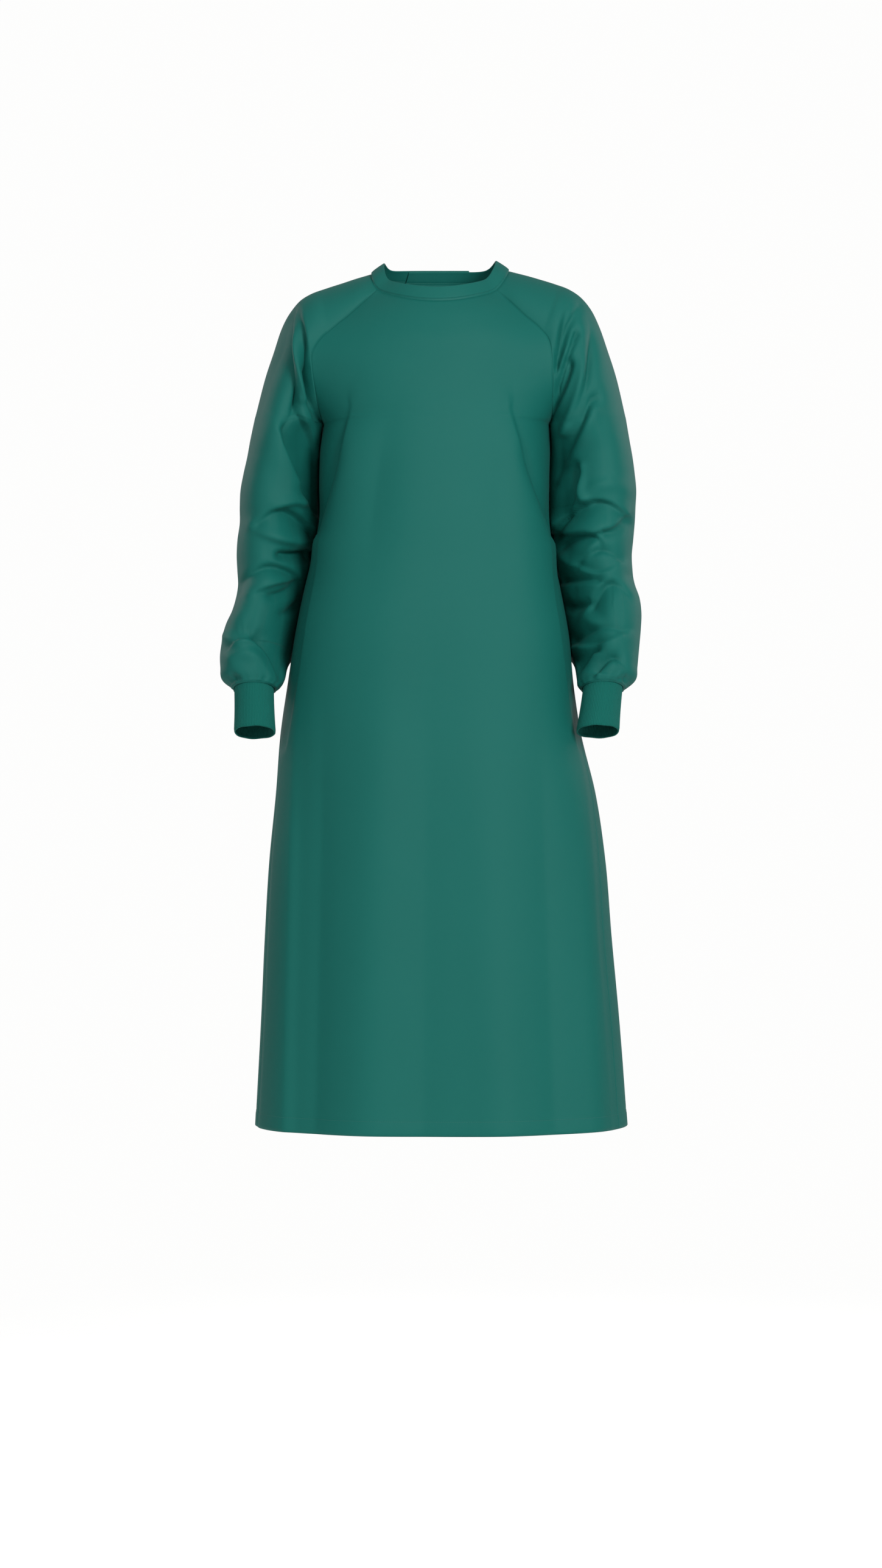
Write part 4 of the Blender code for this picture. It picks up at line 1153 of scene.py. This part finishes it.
def twill_tape():
    """Narrow woven tape with slanting ribs of thread."""
    finish = Finish("tie_tape")
    flat, across, down = finish.flat_cloth()
    turn = 2.0 * math.pi / (TAPE_RIB_PITCH * METRES)
    slant = (down * turn + (across * turn).size() * 0.9).sine()
    fuzz = finish.noise(flat, scale=600.0)
    # Besides random fuzz, the tape's colour is painted darker in the grooves between its slanting ribs
    # and lighter on them: painted shade and highlight of the ribs' relief.
    share = 0.92 + 0.06 * slant + 0.08 * fuzz
    roughness = 0.6 + 0.1 * fuzz
    height = slant * 0.12 + fuzz * 0.05
    return finish.surface(finish.shade(CLOTH_COLOUR, share), roughness, height, sheen=0.06)


def sewing_thread():
    """Twisted thread a little lighter than the cloth."""
    finish = Finish("sewing_thread")
    fuzz = finish.noise(finish.place(), scale=1500.0)
    return finish.surface(finish.shade(THREAD_COLOUR, 0.85 + 0.3 * fuzz), 0.5 + 0.1 * fuzz, fuzz * 0.05)


class Tree:
    """A Geometry Nodes tree with named sizes, ended by Realize Instances and Set Material."""

    def __init__(self, name, sizes):
        self.tree = bpy.data.node_groups.new(name, "GeometryNodeTree")
        face = self.tree.interface
        face.new_socket("Geometry", in_out="INPUT", socket_type="NodeSocketGeometry")
        for label, kind in sizes:
            face.new_socket(label, in_out="INPUT", socket_type=kind)
        face.new_socket("Geometry", in_out="OUTPUT", socket_type="NodeSocketGeometry")
        self.start = self.tree.nodes.new("NodeGroupInput")

    def node(self, kind, settings=None, sockets=None):
        node = self.tree.nodes.new(kind)
        for name, value in (settings or {}).items():
            setattr(node, name, value)
        for name, value in (sockets or {}).items():
            if hasattr(value, "is_output"):
                self.tree.links.new(value, node.inputs[name])
            else:
                node.inputs[name].default_value = value
        return node.outputs

    def math(self, operation, *numbers):
        return self.node("ShaderNodeMath", {"operation": operation}, dict(enumerate(numbers)))[0]

    def size(self, label):
        return self.start.outputs[label]

    def end(self, geometry):
        whole = self.node("GeometryNodeRealizeInstances", {}, {"Geometry": geometry})[0]
        coat = {"Geometry": whole, "Material": self.size("Material")}
        coated = self.node("GeometryNodeSetMaterial", {}, coat)[0]
        finish = self.tree.nodes.new("NodeGroupOutput")
        self.tree.links.new(coated, finish.inputs["Geometry"])
        return self.tree


def stitch_tree():
    """Stitches spaced along the object's edges."""
    build = Tree(
        "stitches",
        (
            ("Spacing", "NodeSocketFloat"),
            ("Stitch length", "NodeSocketFloat"),
            ("Thread width", "NodeSocketFloat"),
            ("Material", "NodeSocketMaterial"),
        ),
    )
    line = build.node("GeometryNodeMeshToCurve", {}, {"Mesh": build.size("Geometry")})[0]
    places = build.node(
        "GeometryNodeCurveToPoints", {"mode": "LENGTH"}, {"Curve": line, "Length": build.size("Spacing")}
    )
    ball = build.node("GeometryNodeMeshUVSphere", {}, {"Segments": 6, "Rings": 5, "Radius": 0.5})[0]
    width, length = build.size("Thread width"), build.size("Stitch length")
    scale = build.node("ShaderNodeCombineXYZ", {}, {0: width, 1: width, 2: length})[0]
    stitch = build.node("GeometryNodeTransform", {}, {"Geometry": ball, "Scale": scale})[0]
    smooth = build.node("GeometryNodeSetShadeSmooth", {}, {"Geometry": stitch})[0]
    row = build.node(
        "GeometryNodeInstanceOnPoints",
        {},
        {"Points": places["Points"], "Instance": smooth, "Rotation": places["Rotation"]},
    )[0]
    return build.end(row)


def rib_tree():
    """Ribs raised on a plain tube, whose points hold how far round it they lie, from 0 to 1."""
    build = Tree(
        "knit ribs",
        (
            ("Ribs", "NodeSocketFloat"),
            ("Rib height", "NodeSocketFloat"),
            ("Roundness", "NodeSocketFloat"),
            ("Material", "NodeSocketMaterial"),
        ),
    )
    around = build.node("GeometryNodeInputNamedAttribute", {"data_type": "FLOAT"}, {"Name": "around"})[0]
    turn = build.math("MULTIPLY", build.math("MULTIPLY", around, build.size("Ribs")), math.pi)
    hump = build.math("POWER", build.math("ABSOLUTE", build.math("SINE", turn)), build.size("Roundness"))
    height = build.math("MULTIPLY", build.math("SUBTRACT", hump, 1.0), build.size("Rib height"))
    normal = build.node("GeometryNodeInputNormal")[0]
    offset = build.node("ShaderNodeVectorMath", {"operation": "SCALE"}, {0: normal, "Scale": height})[0]
    raised = build.node(
        "GeometryNodeSetPosition", {}, {"Geometry": build.size("Geometry"), "Offset": offset}
    )[0]
    return build.end(raised)


def grow(thing, tree, sizes):
    """Runs a tree on an object with named sizes and keeps the result as its plain mesh."""
    modifier = thing.modifiers.new(tree.name, "NODES")
    modifier.node_group = tree
    for item in tree.interface.items_tree:
        if item.in_out == "INPUT" and item.name in sizes:
            modifier[item.identifier] = sizes[item.name]
    bpy.context.view_layer.update()
    graph = bpy.context.evaluated_depsgraph_get()
    result = bpy.data.meshes.new_from_object(thing.evaluated_get(graph), depsgraph=graph)
    thing.modifiers.clear()
    thing.data = result
    result.name = thing.name
    return thing


def stitches(name, lines, material):
    """Stitches along lines of points, as one mesh."""
    points, edges = [], []
    for line in lines:
        first = len(points)
        points.extend(line)
        edges.extend((first + i, first + i + 1) for i in range(len(line) - 1))
    thing = mesh_object(name, points, [], None, edges)
    sizes = {
        "Spacing": STITCH_SPACING * METRES,
        "Stitch length": STITCH_LENGTH * METRES,
        "Thread width": THREAD_WIDTH * METRES,
        "Material": material,
    }
    return grow(thing, STITCHES, sizes)


def cuff(side, material):
    """A rib knit cuff, whose top end runs a little way up inside the sleeve."""
    (top, out_top, ahead_top), (low, out_low, ahead_low) = cuff_axes(side, 0), cuff_axes(side, 1)
    around = np.linspace(0.0, 1.0, CUFF_RIBS * POINTS_PER_RIB + 1)
    turn = 2 * math.pi * around[:, None] * (1 if side == "left" else -1)
    rows = []
    for share in np.linspace(-CUFF_TUCKED_IN, 1.0, CUFF_ROWS):
        centre, out, ahead = (
            a + (b - a) * share for a, b in ((top, low), (out_top, out_low), (ahead_top, ahead_low))
        )
        narrowing = math.sin(math.pi * min(1.0, max(0.0, share))) + smoothstep(share, CUFF_END, 1.0)
        ring = out * np.cos(turn) + ahead * np.sin(turn)
        rows.append(centre + ring * (1.0 - CUFF_NARROWING * narrowing))
    points = np.array(rows)
    lower_half = smoothstep(np.linspace(0, 1, CUFF_ROWS), 0.5, 1.0)[:, None]
    points[..., 2] += waves(CUFF_WAVES, turn[:, 0]) * lower_half
    thing = grid_object(f"cuff_{side}_knit", points, {"around": np.tile(around, CUFF_ROWS)})
    sizes = {
        "Ribs": float(CUFF_RIBS),
        "Rib height": RIB_HEIGHT * METRES,
        "Roundness": RIB_ROUNDNESS,
        "Material": material,
    }
    grow(thing, KNIT_RIBS, sizes)
    thicken(thing, CUFF_THICKNESS)
    return thing


def section_piece(name, sections, material):
    """A closed body swept through sections, each a ring of points in one sense."""
    sections = np.asarray(sections, float)
    count, around = sections.shape[:2]
    index = np.arange(count * around).reshape(count, around)
    after = np.roll(index, -1, axis=1)
    faces = np.stack((index[:-1], after[:-1], after[1:], index[1:]), axis=-1).reshape(-1, 4).tolist()
    faces += [index[0][::-1].tolist(), index[-1].tolist()]
    along = length_along(sections.mean(axis=1))
    round_it = np.linalg.norm(np.roll(sections[0], -1, axis=0) - sections[0], axis=1).cumsum()
    uvs = np.stack(np.broadcast_arrays(round_it[None, :], along[:, None]), axis=-1).reshape(-1, 2)
    thing = mesh_object(name, sections.reshape(-1, 3), faces, uvs)
    change_mesh(thing, lambda mesh: bmesh.ops.recalc_face_normals(mesh, faces=mesh.faces))
    thing.data.materials.append(material)
    return thing


def whole_back():
    """The back as one fine surface that the tapes lie on, with its coarse rows' places down it."""

    def angles_of(table):
        quarter = np.full(len(table), math.pi / 2)
        return quarter, -quarter

    raw, _, fine_row = fine_rows(body_table(BACK_SEAM, BACK_CENTRE, 1), angles_of, 2 * BACK_COLUMNS)
    lift = crease_height(CREASES_BACK, raw[..., 0], raw[..., 2])
    lift = lift * smoothstep(distance_down(raw), *BACK_NECK_FADE)
    points = raw + grid_normals(raw) * (lift + HEM_PROUD)[..., None]
    return points, grid_normals(points), fine_row


def on_back(surface, row, x):
    """Place and normal on the back, at a row of its coarse table, or between two, and an x."""
    points, normals, fine_row = surface
    row = np.interp(row, np.arange(len(fine_row)), fine_row)
    upper = min(int(row), len(points) - 2)
    part = row - upper
    found = []
    for grid in (points, normals):
        both = []
        for index in (upper, upper + 1):
            xs = points[index, ::-1, 0]
            both.append(np.array([np.interp(x, xs, grid[index, ::-1, i]) for i in range(3)]))
        found.append(both[0] * (1 - part) + both[1] * part)
    return found[0], unit(found[1])


def join(things, name):
    """Several mesh objects as one."""
    bpy.ops.object.select_all(action="DESELECT")
    for thing in things:
        thing.select_set(True)
    bpy.context.view_layer.objects.active = things[0]
    bpy.ops.object.join()
    things[0].name = things[0].data.name = name
    return things[0]


def tape(table, surface, tail, material):
    """A tape along places on the back. A tail curls a little away from the cloth at its end."""
    rows = np.array(table, float)
    reach = np.arange(len(rows), dtype=float)
    line = read_smooth(rows, reach, np.linspace(0.0, reach[-1], 12 * len(rows)))
    places = [on_back(surface, row, x) for row, x in line]
    centres = np.array([place for place, _ in places])
    normals = np.array([normal for _, normal in places])
    share = np.linspace(0.0, 1.0, len(centres))[:, None]
    lift = TAIL_LIFT * smoothstep(share, 0.3, 1.0) + TAIL_RIPPLE * np.sin(9 * share) ** 2
    centres = centres + normals * (TAPE_CLEARANCE + lift * tail + TAPE_THICKNESS / 2)
    along = unit(np.gradient(centres, axis=0))
    roll = np.radians(TAIL_ROLL * np.sin(5.0 * share + 0.6)) * tail
    side = unit(np.cross(normals, along))
    up = unit(np.cross(along, side))
    side, up = side * np.cos(roll) + up * np.sin(roll), up * np.cos(roll) - side * np.sin(roll)
    outline = []
    for step in np.linspace(0.0, 2 * math.pi, 24, endpoint=False):
        across, above = power(np.array((math.cos(step), math.sin(step))), TAPE_POWERS)
        outline.append((across * TAPE_WIDTH / 2, above * TAPE_THICKNESS / 2))
    sections = [
        [centre + s * across + u * above for across, above in outline]
        for centre, s, u in zip(centres, side, up)
    ]
    return section_piece("tape", sections, material)


def knot(centre, normal, material):
    """The wrapped lump of a tied tape, with the turns of tape standing out round it."""
    wide, deep, tall = KNOT_SIZE
    wrap_height, wrap_width = KNOT_WRAP
    middle = centre + normal * (TAPE_CLEARANCE + deep / 2)
    side = unit(np.cross((0.0, 0.0, 1.0), normal))
    up = unit(np.cross(normal, side))
    sections = []
    for turn in np.linspace(0.03, math.pi - 0.03, 28):
        ring = []
        for step in np.linspace(0.0, 2 * math.pi, 40, endpoint=False):
            x, radius = math.cos(turn), math.sin(turn) ** 0.8
            y, z = radius * math.cos(step), radius * math.sin(step)
            slant = x + KNOT_SLANT * z
            wrap = wrap_height * math.exp(-((slant / wrap_width) ** 4))
            groove = hump(abs(slant) - KNOT_GROOVE_AT, KNOT_GROOVE)
            size = KNOT_PLAIN + wrap - groove + KNOT_FOLD * math.sin(5 * z + 3 * x)
            ring.append(middle + size * (side * x * wide / 2 + normal * y * deep / 2 + up * z * tall / 2))
        sections.append(ring)
    return section_piece("knot", sections, material)


def tie(name, surface, material):
    """Two tapes tied: a knot, two runs that are sewn to the backs and two tails."""
    row, x, tapes = TIES[name]
    centre, normal = on_back(surface, row, x)
    pieces = [knot(centre, normal, material)]
    for number, table in enumerate(tapes):
        pieces.append(tape(table, surface, float(number > 1), material))
    return join(pieces, name + "_tapes")


def soft_light(name, place, aim, width, height, watts):
    light = bpy.data.lights.new(name, "AREA")
    light.shape = "RECTANGLE"
    light.size, light.size_y, light.energy = width, height, watts
    thing = bpy.data.objects.new(name, light)
    thing.location = place
    thing.rotation_euler = (Vector(aim) - Vector(place)).to_track_quat("-Z", "Y").to_euler()
    bpy.context.scene.collection.objects.link(thing)


def studio_air():
    """A world that is a white backdrop to look at and gives softer, dimmer light."""
    world = bpy.data.worlds.new("studio_air")
    world.use_nodes = True
    tree = world.node_tree
    light = tree.nodes["Background"]
    light.inputs["Color"].default_value = (*AIR_COLOUR, 1.0)
    backdrop = tree.nodes.new("ShaderNodeBackground")
    backdrop.inputs["Color"].default_value = (*BACKDROP_COLOUR, 1.0)
    path = tree.nodes.new("ShaderNodeLightPath")
    either = tree.nodes.new("ShaderNodeMixShader")
    tree.links.new(path.outputs["Is Camera Ray"], either.inputs[0])
    tree.links.new(light.outputs[0], either.inputs[1])
    tree.links.new(backdrop.outputs[0], either.inputs[2])
    tree.links.new(either.outputs[0], tree.nodes["World Output"].inputs["Surface"])
    return world


def studio_floor():
    """A pale floor at the height where the wearer stands, fading into the backdrop."""
    finish = Finish("studio_floor")
    place = finish.place()
    mottle = finish.noise(place, scale=3.0)
    axes = finish.node("ShaderNodeSeparateXYZ", {}, {0: place})
    away = (axes * axes + axes.output("Y") * axes.output("Y")) ** 0.5
    whole, gone = FLOOR_RADII
    alpha = finish.node(
        "ShaderNodeMapRange",
        {"interpolation_type": "SMOOTHSTEP"},
        {"Value": away, "From Min": whole, "From Max": gone, "To Min": 1.0, "To Max": 0.0},
    )
    colour = finish.shade(FLOOR_COLOUR, 0.99 + 0.02 * mottle)
    pale = finish.surface(colour, 0.9, mottle, depth=0.0001, specular=0.0, glow=FLOOR_GLOW, alpha=alpha)
    corners = np.array(((-1, -1, 0), (1, -1, 0), (1, 1, 0), (-1, 1, 0))) * gone / METRES
    floor = mesh_object("floor", corners + (0, 0, FLOOR_HEIGHT), [(0, 1, 2, 3)])
    floor.data.materials.append(pale)


def studio():
    """The floor, soft light all round and the camera."""
    studio_floor()
    bpy.context.scene.world = studio_air()
    for light in LIGHTS:
        soft_light(*light)
    camera = bpy.data.cameras.new("camera")
    camera.sensor_fit = "VERTICAL"
    camera.sensor_height = CAMERA_SENSOR
    camera.lens = CAMERA_LENS
    thing = bpy.data.objects.new("camera", camera)
    thing.location = CAMERA_PLACE
    thing.rotation_euler = (math.pi / 2, 0.0, 0.0)
    bpy.context.scene.collection.objects.link(thing)
    bpy.context.scene.camera = thing
    bpy.context.scene.view_settings.view_transform = "Standard"


def panels():
    """Each panel's grids before and after its creases, in their order round the neck, with their
    edges sewn together."""
    grids = {
        "back_left": back_panel(-1),
        "sleeve_left": sleeve_tube("left"),
        "front": front_panel(),
        "sleeve_right": sleeve_tube("right"),
        "back_right": back_panel(1),
    }
    armhole, below = slice(0, ARMHOLE_ROWS + 1), slice(ARMHOLE_ROWS, None)
    for first, column, second, other, rows in (
        ("front", 0, "sleeve_left", -1, armhole),
        ("front", -1, "sleeve_right", 0, armhole),
        ("back_left", -1, "sleeve_left", 0, armhole),
        ("back_right", 0, "sleeve_right", -1, armhole),
        ("front", 0, "back_left", -1, below),
        ("front", -1, "back_right", 0, below),
    ):
        sew(grids[first][1], column, grids[second][1], other, rows)
    even_neck(grids.values())
    return grids


def band_rows(grids):
    """The neck band's section rows, round the panels' neck edges."""
    edge, under = (np.concatenate([raw[row] for raw, _ in grids.values()]) for row in (0, 1))
    outward = np.concatenate([grid_normals(raw)[0] for raw, _ in grids.values()])
    fresh = np.concatenate(((True,), np.linalg.norm(np.diff(edge, axis=0), axis=1) > NEAREST_ON_NECK))
    edge, outward, under = edge[fresh], outward[fresh], under[fresh]
    outward = unit(evened(outward, length_along(edge), NECK_EVEN))
    return neck_band(edge, outward, [under - outward * depth for depth in BAND_TUCK])


def stitch_lines(grids, band):
    """The lines of each piece of stitching."""
    stitch_row = int(round(BAND_STITCH / BAND_RISE * (BAND_ROWS - 1)))
    left, front, right = (grids[name][1] for name in ("back_left", "front", "back_right"))
    past_hem = slice(3, -4)
    return {
        "neck_band_stitches": [band[stitch_row]],
        "hem_stitches": [line_across(points, HEM_DEPTH) for points in (left, front, right)],
        "back_edge_stitches": [
            line_down(left, EDGE_HEM_DEPTH)[past_hem],
            line_down(right, EDGE_HEM_DEPTH, True)[past_hem],
        ],
    }


def make_pieces():
    """Every piece of the gown, by the name of its node or of its stitching."""
    cloth, knit, tie_cloth, thread = woven_cloth(), rib_knit(), twill_tape(), sewing_thread()
    grids = panels()
    pieces = {name: cloth_sheet(name + "_cloth", points, cloth) for name, (_, points) in grids.items()}
    band = band_rows(grids)
    pieces["neck_band"] = section_piece("neck_band_cloth", band.transpose(1, 0, 2), cloth)
    for side in CUFF:
        pieces[f"cuff_{side}"] = cuff(side, knit)
    surface = whole_back()
    for name in TIES:
        pieces[name] = tie(name, surface, tie_cloth)
    for name, lines in stitch_lines(grids, band).items():
        pieces[name] = stitches(name, lines, thread)
    return pieces


def declare(pieces):
    for name, piece in pieces.items():
        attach(piece, BODY_NAME)
        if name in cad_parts:
            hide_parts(name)


STITCHES = stitch_tree()
KNIT_RIBS = rib_tree()
studio()
declare(make_pieces())
